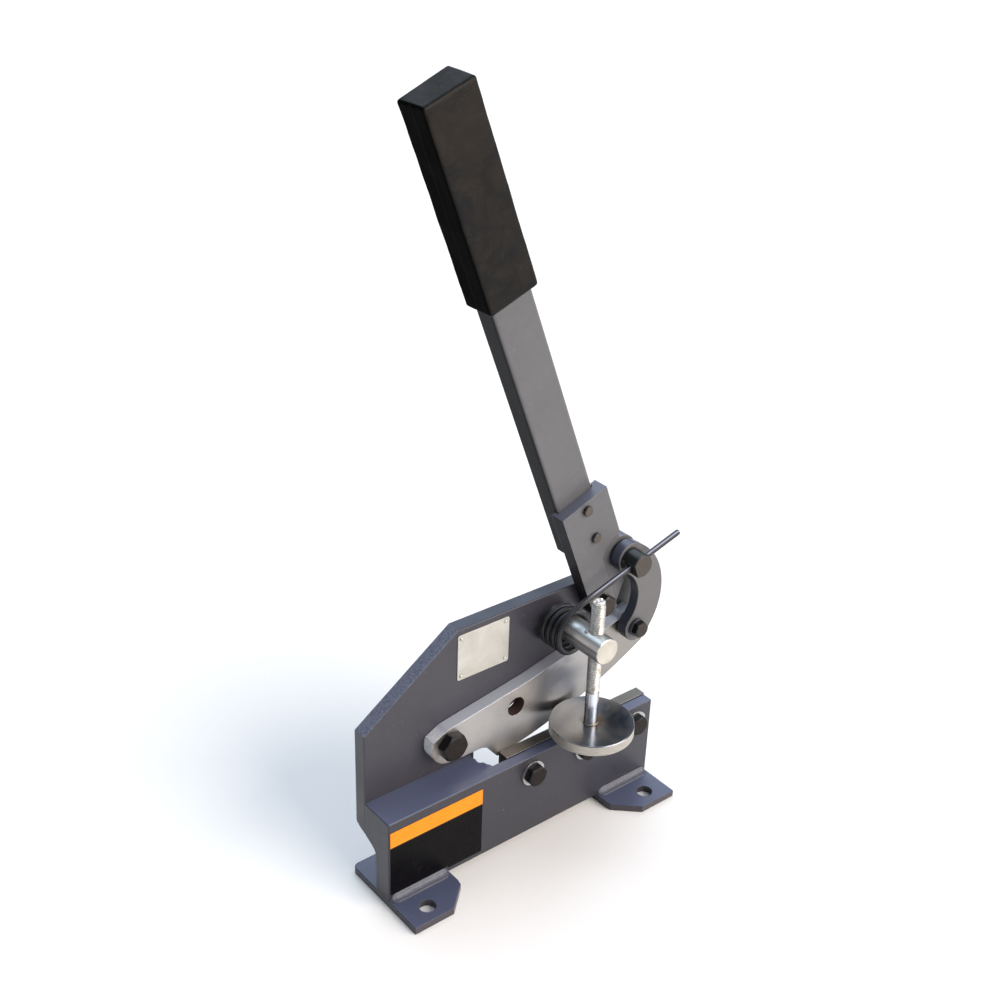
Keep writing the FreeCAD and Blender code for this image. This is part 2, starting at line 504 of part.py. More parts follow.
def tube_along(edges, r):
    """Round wire swept along tangent lines and arcs."""
    spine = Part.Wire(edges)
    start = edges[0]
    tangent = start.tangentAt(start.FirstParameter)
    ring = Part.Wire([Part.makeCircle(r, start.valueAt(start.FirstParameter), tangent)])
    return spine.makePipeShell([ring], True, True)


# coil: a true helix about Y, leaning so that its back end hangs lower
helix = Part.makeHelix(COIL_PITCH, COIL_PITCH * TURNS, COIL_R)
ring = Part.Wire([Part.makeCircle(WIRE_R, V(COIL_R, 0, 0), V(0, 1, COIL_PITCH / (2 * math.pi * COIL_R)))])
coil = Part.Wire(helix.Edges).makePipeShell([ring], True, True)
last = 360.0 * TURNS
end = V(COIL_R * math.cos(math.radians(last)), COIL_R * math.sin(math.radians(last)), COIL_PITCH * TURNS)
start_y = COIL_LEFT_Y + COIL_PITCH * (BREAK_DEG - 180.0) / 360.0
# local X -> X, local Y -> Z, local Z -> Y, sheared down towards the back
coil.rotate(V(0, 0, 0), V(0, 0, 1), BREAK_DEG + 1.0)
turned = FreeCAD.Rotation(V(0, 0, 1), BREAK_DEG + 1.0).multVec(end)
swap = FreeCAD.Matrix(1, 0, 0, 0, 0, 0, 1, 0, 0, 1, -COIL_SAG, 0, 0, 0, 0, 1)
coil = coil.transformGeometry(swap)
coil.translate(V(COIL_X, start_y, COIL_Z))
tail = V(turned.x, turned.z, turned.y - COIL_SAG * turned.z) + V(COIL_X, start_y, COIL_Z)
parts["spring_coil"] = one(coil.fuse(Part.makeSphere(WIRE_R + 0.1, tail).fuse(cyl_y(tail.x, tail.z, WIRE_R, tail.y, PLATE_Y + 7.0))))
plate = parts["upper_plate"].cut(cyl_y(tail.x, tail.z, WIRE_R + 0.4, PLATE_Y - 1, PLATE_BACK + 1))
parts["upper_plate"] = one(plate)

# leg: straight through the pin, an easy bend on to the coil's left side, and
# most of a turn under the bar, in one plane that leans back a little
BEND_R = 26.0
lx = COIL_X - COIL_R
nrm = (-leg[1], leg[0])
zc = (nrm[0] * (A_X - lx - BEND_R) + nrm[1] * A_Z - BEND_R) / nrm[1]
bend = (lx + BEND_R, zc)
touch = (bend[0] + BEND_R * nrm[0], bend[1] + BEND_R * nrm[1])
tip = (A_X + 44.5 * leg[0], A_Z + 44.5 * leg[1])


def flat(x, z):
    return V(x, LEG_Y, z)


mid = math.radians((LEG_DEG + 90.0 + 180.0) / 2.0)
stop = BREAK_DEG - 3.0
half = math.radians((180.0 + stop) / 2.0)
edges = [
    Part.makeLine(flat(*tip), flat(*touch)),
    Part.Arc(flat(*touch), flat(bend[0] + BEND_R * math.cos(mid), bend[1] + BEND_R * math.sin(mid)), flat(lx, zc)).toShape(),
    Part.makeLine(flat(lx, zc), flat(lx, COIL_Z)),
    Part.Arc(flat(lx, COIL_Z), flat(COIL_X + COIL_R * math.cos(half), COIL_Z + COIL_R * math.sin(half)), flat(COIL_X + COIL_R * math.cos(math.radians(stop)), COIL_Z + COIL_R * math.sin(math.radians(stop)))).toShape(),
]
wire = tube_along(edges, WIRE_R)
# lean the plane about the pin so that the turn stands in front of the coil
wire.rotate(V(A_X, LEG_Y, A_Z), V(0, 0, 1), LEAN_Z)
wire.rotate(V(A_X, LEG_Y, A_Z), V(1, 0, 0), LEAN_X)
parts["spring_leg"] = one(wire)

# ---- plates on the front ------------------------------------------------
parts["name_plate"] = Part.makeBox(49.5, 1.0, 40.5, V(85.2, PLATE_Y - 1.0, 157.8))
parts["front_decal"] = Part.makeBox(87.2, 0.3, 62.0, V(1.5, -0.3, 10.0)).cut(parts["left_weld_front"])

for name, shape in parts.items():
    shape = shape.copy()
    shape.translate(ORIGIN)
    parts[name] = shape

os.makedirs("parts", exist_ok=True)
for name, shape in parts.items():
    shape.exportStep("parts/" + name + ".step")
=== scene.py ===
import math
import random

import bpy
from mathutils import Matrix, Vector, noise


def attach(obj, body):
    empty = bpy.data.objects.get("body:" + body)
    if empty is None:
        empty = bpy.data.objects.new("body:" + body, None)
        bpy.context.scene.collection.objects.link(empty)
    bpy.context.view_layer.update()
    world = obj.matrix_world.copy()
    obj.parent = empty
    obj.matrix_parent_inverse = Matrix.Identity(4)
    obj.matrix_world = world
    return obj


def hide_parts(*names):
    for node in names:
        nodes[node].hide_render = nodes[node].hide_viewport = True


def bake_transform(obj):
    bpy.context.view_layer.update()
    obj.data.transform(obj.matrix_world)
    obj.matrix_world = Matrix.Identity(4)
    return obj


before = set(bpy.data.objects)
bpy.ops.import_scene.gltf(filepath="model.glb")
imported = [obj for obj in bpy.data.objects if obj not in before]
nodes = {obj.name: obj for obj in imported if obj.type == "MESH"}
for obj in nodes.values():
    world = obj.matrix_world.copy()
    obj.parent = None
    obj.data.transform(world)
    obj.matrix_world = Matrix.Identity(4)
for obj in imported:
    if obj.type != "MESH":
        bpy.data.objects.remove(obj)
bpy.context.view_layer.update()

random.seed(7)
scene = bpy.context.scene
scene.view_settings.view_transform = "Standard"


# ---- where things are -------------------------------------------------------
def S(x, y, z):
    """A point of the CAD source's shop frame, millimetres, in the part's frame."""
    return Vector(((x - 135.0) / 1000.0, (y - 8.0) / 1000.0, z / 1000.0))


HANDLE = math.radians(111.8)
HX, HZ = math.cos(HANDLE), math.sin(HANDLE)


def H(p, s, y):
    """Handle coordinates: p across to the right, s along upwards."""
    return S(p * HZ + s * HX, y, -p * HX + s * HZ)


# ---- camera -----------------------------------------------------------------
az, el, roll = math.radians(-39.377), math.radians(27.697), math.radians(1.96)
back = Vector((math.sin(az) * math.cos(el), -math.cos(az) * math.cos(el), math.sin(el)))
right = (-back).cross(Vector((0, 0, 1))).normalized()
up = right.cross(-back)
cam_x = math.cos(roll) * right + math.sin(roll) * up
cam_y = -math.sin(roll) * right + math.cos(roll) * up
turn = Matrix((cam_x, cam_y, back)).transposed().to_4x4()
camera = bpy.data.objects.new("camera", bpy.data.cameras.new("camera"))
camera.matrix_world = Matrix.Translation((-0.5884, -0.6775, 0.7789)) @ turn
camera.data.sensor_width = 36.0
camera.data.lens = 50.46
camera.data.clip_start = 0.02
scene.collection.objects.link(camera)
scene.camera = camera


# ---- light ------------------------------------------------------------------
def soft_light(name, direction, spread, power, colour):
    """Large even source far away; direction points from the object to the light."""
    lamp = bpy.data.lights.new(name, "SUN")
    lamp.angle = math.radians(spread)
    lamp.energy = power
    lamp.color = colour
    o = bpy.data.objects.new(name, lamp)
    o.location = Vector(direction) * 2.0
    o.rotation_euler = (-Vector(direction)).to_track_quat("-Z", "Y").to_euler()
    scene.collection.objects.link(o)


soft_light("light_top", (0.30, 0.50, 0.90), 65.0, 2.1, (0.78, 0.88, 1.0))
soft_light("light_front", (0.46, -1.0, 0.46), 60.0, 4.9, (1.0, 0.92, 0.85))

world = bpy.data.worlds.new("studio")
scene.world = world
world.use_nodes = True
wt = world.node_tree
wn = wt.nodes
sky = wn.new("ShaderNodeTexCoord")
parted = wn.new("ShaderNodeSeparateXYZ")
ramp = wn.new("ShaderNodeValToRGB")
wt.links.new(sky.outputs["Generated"], parted.inputs[0])
wt.links.new(parted.outputs["Z"], ramp.inputs[0])
wt.links.new(ramp.outputs[0], wn["Background"].inputs["Color"])
wn["Background"].inputs["Strength"].default_value = 0.27
ramp.color_ramp.elements[0].position = 0.0
ramp.color_ramp.elements[0].color = (0.72, 0.66, 0.60, 1)
ramp.color_ramp.elements[1].position = 0.80
ramp.color_ramp.elements[1].color = (1.15, 1.30, 1.55, 1)
mid = ramp.color_ramp.elements.new(0.25)
mid.color = (0.64, 0.63, 0.63, 1)


# ---- procedural finishes ----------------------------------------------------
class Finish:
    """One node-built material. Coordinates are object metres."""

    def __init__(self, name):
        self.mat = bpy.data.materials.new(name)
        self.mat.use_nodes = True
        self.nt = self.mat.node_tree
        self.shader = self.nt.nodes["Principled BSDF"]
        self.at = self.add("ShaderNodeTexCoord").outputs["Object"]
        self.geo = self.add("ShaderNodeNewGeometry")
        self.facing = self.geo.outputs["Normal"]

    def add(self, kind, **props):
        node = self.nt.nodes.new(kind)
        for k, v in props.items():
            setattr(node, k, v)
        return node

    def put(self, socket, value):
        if isinstance(value, bpy.types.NodeSocket):
            self.nt.links.new(value, socket)
        elif isinstance(value, (tuple, list)) and socket.type == "RGBA":
            socket.default_value = tuple(value[:3]) + (1.0,)
        else:
            socket.default_value = value

    def move(self, scale=(1, 1, 1), loc=(0, 0, 0), rot=(0, 0, 0), vec=None):
        m = self.add("ShaderNodeMapping")
        self.put(m.inputs["Vector"], vec or self.at)
        m.inputs["Scale"].default_value = scale
        m.inputs["Location"].default_value = loc
        m.inputs["Rotation"].default_value = rot
        return m.outputs[0]

    def noise(self, scale, detail=2.0, rough=0.5, bend=0.0, vec=None):
        t = self.add("ShaderNodeTexNoise")
        self.put(t.inputs["Vector"], vec or self.at)
        t.inputs["Scale"].default_value = scale
        t.inputs["Detail"].default_value = detail
        t.inputs["Roughness"].default_value = rough
        t.inputs["Distortion"].default_value = bend
        return t.outputs[0]

    def cells(self, scale, vec=None, feature="F1"):
        t = self.add("ShaderNodeTexVoronoi", feature=feature)
        self.put(t.inputs["Vector"], vec or self.at)
        t.inputs["Scale"].default_value = scale
        return t.outputs[0]

    def ramp(self, fac, stops, kind="LINEAR"):
        t = self.add("ShaderNodeValToRGB")
        self.put(t.inputs[0], fac)
        r = t.color_ramp
        r.interpolation = kind
        while len(r.elements) < len(stops):
            r.elements.new(0.5)
        for e, (pos, col) in zip(r.elements, stops):
            e.position = pos
            e.color = tuple(col[:3]) + (1.0,) if isinstance(col, (tuple, list)) else (col, col, col, 1.0)
        return t.outputs[0]

    def mix(self, fac, a, b, kind="MIX"):
        t = self.add("ShaderNodeMix", data_type="RGBA", blend_type=kind)
        self.put(t.inputs[0], fac)
        self.put(t.inputs[6], a)
        self.put(t.inputs[7], b)
        return t.outputs[2]

    def calc(self, op, a, b=0.0, c=0.0):
        t = self.add("ShaderNodeMath", operation=op)
        self.put(t.inputs[0], a)
        self.put(t.inputs[1], b)
        self.put(t.inputs[2], c)
        return t.outputs[0]

    def span(self, value, lo, hi, out_lo=0.0, out_hi=1.0):
        t = self.add("ShaderNodeMapRange", interpolation_type="SMOOTHSTEP")
        self.put(t.inputs["Value"], value)
        t.inputs["From Min"].default_value = lo
        t.inputs["From Max"].default_value = hi
        t.inputs["To Min"].default_value = out_lo
        t.inputs["To Max"].default_value = out_hi
        return t.outputs[0]

    def xyz(self, vec):
        t = self.add("ShaderNodeSeparateXYZ")
        self.put(t.inputs[0], vec)
        return t.outputs

    def round_edges(self, radius, lo=0.985, hi=0.80):
        """Normal with softened edges, and a mask that is 1 along them."""
        b = self.add("ShaderNodeBevel", samples=4)
        b.inputs["Radius"].default_value = radius
        d = self.add("ShaderNodeVectorMath", operation="DOT_PRODUCT")
        self.put(d.inputs[0], b.outputs[0])
        self.put(d.inputs[1], self.facing)
        return b.outputs[0], self.span(d.outputs["Value"], lo, hi)

    def bump(self, height, distance, strength=1.0, normal=None):
        t = self.add("ShaderNodeBump")
        self.put(t.inputs["Height"], height)
        t.inputs["Distance"].default_value = distance
        t.inputs["Strength"].default_value = strength
        if normal is not None:
            self.put(t.inputs["Normal"], normal)
        return t.outputs[0]

    def done(self, colour, rough, normal=None, metal=0.0, **more):
        s = self.shader
        self.put(s.inputs["Base Color"], colour)
        self.put(s.inputs["Roughness"], rough)
        self.put(s.inputs["Metallic"], metal)
        if normal is not None:
            self.put(s.inputs["Normal"], normal)
        for k, v in more.items():
            self.put(s.inputs[k.replace("_", " ")], v)
        return self.mat


def tint(c, k):
    return tuple(x * k for x in c)


def paint(name, base, edge_tone, peel=0.00006, edge_wear_and_highlight=0.35, flame=False, weld=False, painted_sky_light=None, left_shade_amount=0.0, sides=None, high=0.28):
    """Satin enamel with orange peel, dust specks, scuffs and pale edges that are partly worn and partly painted
    highlight. Optional painted light: a bluish sky light on upward faces, and painted shade on the flanks and on
    left-facing faces.
    """
    f = Finish(name)
    patches = f.noise(11.0, 4.0, 0.6, 0.3)
    fine = f.noise(240.0, 3.0, 0.6)
    colour = f.ramp(patches, [(0.30, tint(base, 0.90)), (0.70, tint(base, 1.10))])
    colour = f.mix(f.span(fine, 0.35, 0.75, 0.0, 0.30), colour, tint(base, 1.25))
    own = f.xyz(f.add("ShaderNodeTexCoord").outputs["Normal"])
    if painted_sky_light is not None:
        # painted light: upward faces are painted lighter and bluer as if lit by the sky, at full strength below 0.11 m
        # and weighted by high above 0.16 m
        low = f.span(f.xyz(f.at)[2], 0.11, 0.16, 1.0, high)
        painted_sky_mask = f.calc("MULTIPLY", f.calc("MULTIPLY", f.span(own[2], 0.55, 0.92), low), f.span(patches, 0.25, 0.70, 0.86, 1.0))
        colour = f.mix(painted_sky_mask, colour, painted_sky_light)
    if sides is not None:
        # painted shade: flanks are painted a darker bluish tone, nearly black where they face down
        shaded_flank = f.span(f.calc("ABSOLUTE", own[1]), 0.75, 0.35)
        colour = f.mix(shaded_flank, colour, f.mix(f.span(patches, 0.35, 0.65), sides, tint(sides, 1.5)))
        colour = f.mix(f.calc("MULTIPLY", shaded_flank, f.span(own[2], 0.15, -0.35)), colour, tint(sides, 0.35))
    gloss = 0.42
    if left_shade_amount:
        # painted shade: faces turned to the left are painted darker and made less glossy
        left_shade_mask = f.calc("MULTIPLY", f.span(own[0], -0.45, -0.85), left_shade_amount)
        colour = f.mix(left_shade_mask, colour, tint(base, 0.25))
        gloss = f.calc("MULTIPLY_ADD", left_shade_mask, -0.44, 0.42)
    round_n, edge = f.round_edges(0.0009)
    # pale broken edges: partly worn paint, partly a painted highlight
    broken = f.calc("MULTIPLY", edge, f.span(f.noise(130.0, 3.0, 0.7), 0.40, 0.62, 0.25, 1.0))
    colour = f.mix(f.calc("MULTIPLY", broken, edge_wear_and_highlight), colour, edge_tone)
    # thin scuffs that run along the piece
    scuff = f.noise(60.0, 2.0, 0.6, 0.0, f.move(scale=(0.6, 4.0, 9.0), rot=(0.0, 0.35, 0.2)))
    scuffs = f.span(scuff, 0.70, 0.78)
    colour = f.mix(f.calc("MULTIPLY", scuffs, 0.22), colour, tint(base, 2.0))
    # sparse dust
    dust = f.cells(330.0)
    some = f.span(f.noise(75.0, 1.0, 0.5), 0.60, 0.66)
    specks = f.calc("MULTIPLY", f.span(dust, 0.10, 0.06), some)
    colour = f.mix(f.calc("MULTIPLY", specks, 0.55), colour, (0.50, 0.50, 0.48))
    rough = f.span(f.noise(35.0, 3.0, 0.6), 0.30, 0.70, 0.30, 0.42)
    wave = f.noise(420.0, 2.0, 0.45)
    height = f.calc("MULTIPLY_ADD", f.noise(1500.0, 2.0, 0.6), 0.25, wave)
    if flame:
        # torch-cut faces: fine granular skin
        nx, ny, nz = f.xyz(f.geo.outputs["True Normal"])
        cut = f.span(nx, -0.25, -0.45)
        cut = f.calc("MULTIPLY", cut, f.span(nz, 0.3, 0.6))
        rocky = f.calc("MULTIPLY_ADD", f.noise(1300.0, 4.0, 0.7), 0.8, f.noise(600.0, 3.0, 0.6))
        height = f.calc("MULTIPLY_ADD", f.calc("MULTIPLY", cut, 3.0), rocky, height)
        colour = f.mix(f.calc("MULTIPLY", cut, f.span(rocky, 0.66, 1.08, 0.40, 1.0)), colour, (0.150, 0.165, 0.220))
    if weld:
        bead = f.noise(330.0, 3.0, 0.5, 0.3, f.move(scale=(0.25, 2.2, 2.2)))
        height = f.calc("MULTIPLY_ADD", bead, 1.2, height)
        colour = f.mix(f.span(bead, 0.45, 0.7, 0.0, 0.25), colour, tint(base, 1.5))
    normal = f.bump(height, peel, 1.0, round_n)
    return f.done(colour, rough, normal, 0.0, Specular_IOR_Level=gloss)


def steel(name, base, dark, rough=(0.22, 0.38), grain=(6.0, 1.0, 90.0), depth=0.00001, stain=None, amount=0.0, edge_tone=(0.80, 0.82, 0.86), edge_wear_and_highlight=0.6):
    """Ground steel: fine lines one way, blurry tone changes, bright edges that are partly rubbed and partly painted
    highlight.
    """
    f = Finish(name)
    lines = f.noise(60.0, 4.0, 0.7, 0.0, f.move(scale=grain))
    cloud = f.noise(16.0, 3.0, 0.55, 0.8)
    colour = f.ramp(cloud, [(0.30, dark), (0.68, base)])
    colour = f.mix(f.span(lines, 0.30, 0.70, 0.0, 0.35), colour, tint(base, 1.18))
    if stain is not None:
        spots = f.noise(45.0, 5.0, 0.7, 0.6)
        colour = f.mix(f.calc("MULTIPLY", f.span(spots, 0.56, 0.70), amount), colour, stain)
    round_n, edge = f.round_edges(0.0006)
    # pale edges: partly rubbed bright, partly a painted highlight
    colour = f.mix(f.calc("MULTIPLY", edge, edge_wear_and_highlight), colour, edge_tone)
    scratch = f.span(f.noise(30.0, 2.0, 0.5, 0.0, f.move(scale=(1.0, 3.0, 22.0), rot=(0.0, 0.5, 0.0))), 0.72, 0.80)
    r = f.calc("MULTIPLY_ADD", scratch, 0.15, f.span(cloud, 0.30, 0.70, rough[0], rough[1]))
    normal = f.bump(f.calc("MULTIPLY_ADD", scratch, 0.8, lines), depth, 1.0, round_n)
    return f, colour, r, normal


# frame and lever enamel
FRAME_BASE = (0.034, 0.0330, 0.042)
LEVER_BASE = (0.091, 0.0905, 0.097)
PALE_EDGE = (0.15, 0.16, 0.20)
frame_paint = paint("frame_paint", FRAME_BASE, PALE_EDGE, flame=True, painted_sky_light=(0.016, 0.022, 0.046), high=0.9)
jaw_paint = paint("jaw_paint", (0.0265, 0.0262, 0.0355), PALE_EDGE, painted_sky_light=(0.096, 0.112, 0.185))
foot_paint = paint("foot_paint", (0.044, 0.041, 0.051), PALE_EDGE, peel=0.00008, painted_sky_light=(0.080, 0.096, 0.165))
# the weld beads carry the feet's enamel painted lighter and bluer: a painted sky light on the sloping bead
weld_paint = paint("weld_paint", (0.062, 0.067, 0.092), (0.12, 0.13, 0.18), peel=0.00008, weld=True)
lever_paint = paint("lever_paint", LEVER_BASE, (0.36, 0.37, 0.41), peel=0.00004, edge_wear_and_highlight=0.75, left_shade_amount=0.92, painted_sky_light=(0.125, 0.140, 0.195), high=0.8)
link_paint = paint("link_paint", (0.100, 0.097, 0.099), (0.40, 0.41, 0.45), peel=0.00004, edge_wear_and_highlight=0.7, sides=(0.044, 0.049, 0.071))


def arm_finish():
    f, colour, r, normal = steel("arm_steel", (0.47, 0.45, 0.435), (0.35, 0.34, 0.335), (0.32, 0.44), (3.0, 1.0, 70.0))
    x, y, z = f.xyz(f.at)
    # painted shade: the middle of the arm, under the disc and screw, is painted a patchy darker blue-grey, standing in
    # for their shade and dark reflection
    painted_shade_band = f.calc("MULTIPLY", f.calc("MULTIPLY", f.span(x, 0.010, 0.032), f.span(x, 0.082, 0.052)), f.span(f.noise(22.0, 3.0, 0.5, 0.6), 0.38, 0.62, 0.25, 0.8))
    colour = f.mix(painted_shade_band, colour, (0.17, 0.175, 0.195))
    colour = f.mix(f.calc("MULTIPLY", f.span(x, 0.070, 0.088), 0.8), colour, (0.31, 0.285, 0.26))
    # the pivot end is brown from handling
    brown = f.calc("MULTIPLY", f.span(x, -0.055, -0.082), f.span(f.noise(60.0, 4.0, 0.6), 0.35, 0.6, 0.1, 0.55))
    colour = f.mix(brown, colour, (0.16, 0.12, 0.09))
    dx = f.calc("SUBTRACT", x, 0.0012)
    dz = f.calc("SUBTRACT", z, 0.1188)
    away = f.calc("SQRT", f.calc("ADD", f.calc("MULTIPLY", dx, dx), f.calc("MULTIPLY", dz, dz)))
    nx, ny, nz = f.xyz(f.geo.outputs["True Normal"])
    inside = f.calc("MULTIPLY", f.span(away, 0.0105, 0.0092), f.span(f.calc("ABSOLUTE", ny), 0.6, 0.3))
        # forged-skin edges stay a little darker than the ground faces
    sides = f.span(f.calc("ABSOLUTE", ny), 0.7, 0.3)
    colour = f.mix(f.calc("MULTIPLY", sides, 0.6), colour, (0.36, 0.37, 0.41))
    # painted light: edge faces that look up are painted a pale bluish grey, as if lit by the sky
    painted_top_light = f.calc("MULTIPLY", sides, f.span(nz, 0.15, 0.60))
    colour = f.mix(f.calc("MULTIPLY", painted_top_light, 0.85), colour, (0.62, 0.645, 0.72))
    # painted highlight: a near-white sandy rim on the down-facing edge faces at the pivot end
    rim = f.calc("MULTIPLY", f.calc("MULTIPLY", sides, f.span(x, -0.066, -0.074)), f.span(nz, -0.55, -0.15))
    colour = f.mix(rim, colour, f.ramp(f.noise(700.0, 3.0, 0.6), [(0.35, (0.75, 0.78, 0.84)), (0.6, (1.0, 1.0, 1.0))]))
    r = f.calc("MULTIPLY_ADD", sides, 0.25, r)
    # the bore wall of the cast hole is darkened to a deep brown
    colour = f.mix(f.calc("MULTIPLY", inside, 0.95), colour, (0.075, 0.034, 0.020))
    return f.done(colour, r, normal, f.span(sides, 0.0, 1.0, 1.0, 0.45))


def blade_finish():
    f, colour, r, normal = steel("blade_steel", (0.026, 0.0255, 0.0262), (0.016, 0.0156, 0.016), (0.36, 0.50), (2.0, 1.0, 60.0), stain=(0.12, 0.08, 0.05), amount=0.5)
    x, y, z = f.xyz(f.at)
    nx, ny, nz = f.xyz(f.geo.outputs["True Normal"])
    top = f.calc("MULTIPLY", f.span(nz, 0.55, 0.85), f.span(x, -0.050, -0.005, 0.25, 1.0))
    colour = f.mix(f.calc("MULTIPLY", top, 0.8), colour, (0.150, 0.138, 0.120))
    rust = f.calc("MULTIPLY", f.span(nx, -0.4, -0.8), f.span(f.noise(90.0, 5.0, 0.7), 0.25, 0.6, 0.45, 1.0))
    colour = f.mix(rust, colour, (0.075, 0.045, 0.030))
    return f.done(colour, f.calc("MULTIPLY_ADD", rust, 0.3, r), normal, 0.6)


def black_finish(name, face_y, face=(0.0165, 0.0120, 0.0100), body=(0.0055, 0.0052, 0.0056), edge=(0.095, 0.082, 0.074), gloss=0.5):
    """Black oxide with a brown rubbed crown. face_y is -1 for a head that looks forward, +1 for one at the back."""
    f = Finish(name)
    nx, ny, nz = f.xyz(f.geo.outputs["True Normal"])
    crown = f.span(f.calc("MULTIPLY", ny, float(face_y)), 0.86, 0.97)
    rub = f.noise(260.0, 4.0, 0.65, 0.4)
    round_n, rim = f.round_edges(0.0005, 0.99, 0.85)
    colour = f.ramp(f.noise(150.0, 3.0, 0.6), [(0.30, tint(body, 0.75)), (0.70, tint(body, 1.5))])
    colour = f.mix(f.calc("MULTIPLY", crown, f.span(rub, 0.28, 0.62, 0.55, 1.0)), colour, face)
    colour = f.mix(f.calc("MULTIPLY", rim, f.span(rub, 0.3, 0.6, 0.15, 0.8)), colour, edge)
    r = f.calc("MULTIPLY_ADD", crown, 0.16, f.span(rub, 0.3, 0.7, 0.28, 0.42))
    turned = f.noise(900.0, 3.0, 0.6)
    return f.done(colour, r, f.bump(turned, 0.00002, 1.0, round_n), 0.35, Specular_IOR_Level=gloss)


def zinc_finish(name, base=(0.56, 0.56, 0.58), warm=(0.50, 0.47, 0.38), rough=(0.24, 0.42), flaky=0.3):
    f = Finish(name)
    mottle = f.noise(320.0, 4.0, 0.65, 0.5)
    large = f.noise(60.0, 3.0, 0.6)
    colour = f.ramp(mottle, [(0.28, tint(base, 0.62)), (0.62, base)])
    colour = f.mix(f.calc("MULTIPLY", f.span(large, 0.48, 0.66), 0.55), colour, warm)
    round_n, edge = f.round_edges(0.0004)
    # pale edges: partly rubbed bright, partly a painted highlight
    colour = f.mix(f.calc("MULTIPLY", edge, 0.4), colour, (0.86, 0.86, 0.84))
    r = f.span(mottle, 0.30, 0.70, rough[1], rough[0])
    return f.done(colour, r, f.bump(mottle, 0.00003 * (1.0 + flaky), 1.0, round_n), 1.0)


def bar_finish():
    """Polished turned bar; its sawn and faced end is pale and matt."""
    f = Finish("bar_steel")
    x, y, z = f.xyz(f.at)
    nx, ny, nz = f.xyz(f.geo.outputs["True Normal"])
    rings = f.noise(40.0, 3.0, 0.6, 0.0, f.move(scale=(2.0, 60.0, 2.0)))
    cloud = f.noise(30.0, 3.0, 0.6, 0.5)
    # painted reflections: light and dark bands laid round the bar by the angle of its surface
    reflection_band_angle = f.calc("DIVIDE", f.calc("MODULO", f.calc("ADD", f.calc("ARCTAN2", nz, nx), 2.0 * math.pi), 2.0 * math.pi), 2.0 * math.pi)
    reflection_band_angle = f.calc("MULTIPLY_ADD", f.calc("SUBTRACT", cloud, 0.5), 0.02, reflection_band_angle)
    colour = f.ramp(reflection_band_angle, [
        (0.14, (0.36, 0.37, 0.37)), (0.26, (0.42, 0.43, 0.43)), (0.30, (0.80, 0.86, 0.86)), (0.355, (0.86, 0.91, 0.91)),
        (0.38, (0.46, 0.47, 0.47)), (0.41, (0.90, 0.88, 0.86)), (0.44, (0.86, 0.84, 0.82)), (0.465, (0.22, 0.22, 0.225)),
        (0.50, (0.42, 0.42, 0.425)), (0.56, (0.26, 0.26, 0.265)), (0.66, (0.44, 0.44, 0.45)), (0.85, (0.36, 0.36, 0.37)),
    ])
    end = f.span(ny, -0.8, -0.95)
    dx = f.calc("SUBTRACT", x, 0.048)
    dz = f.calc("SUBTRACT", z, 0.179)
    away = f.calc("SQRT", f.calc("ADD", f.calc("MULTIPLY", dx, dx), f.calc("MULTIPLY", dz, dz)))
    turned = f.calc("SINE", f.calc("MULTIPLY", away, 9000.0))
    cream = f.ramp(f.noise(120.0, 4.0, 0.6), [(0.3, (0.42, 0.40, 0.345)), (0.7, (0.51, 0.492, 0.442))])
    colour = f.mix(end, colour, cream)
    round_n, edge = f.round_edges(0.0006)
    # pale edges: partly worn bright, partly a painted highlight
    colour = f.mix(f.calc("MULTIPLY", edge, 0.5), colour, (0.90, 0.90, 0.88))
    r = f.calc("MULTIPLY_ADD", end, 0.24, f.span(cloud, 0.3, 0.7, 0.34, 0.42))
    height = f.calc("ADD", rings, f.calc("MULTIPLY", f.calc("MULTIPLY", end, turned), 0.3))
    return f.done(colour, r, f.bump(height, 0.000006, 1.0, round_n), f.span(ny, -0.8, -0.95, 0.80, 0.3))


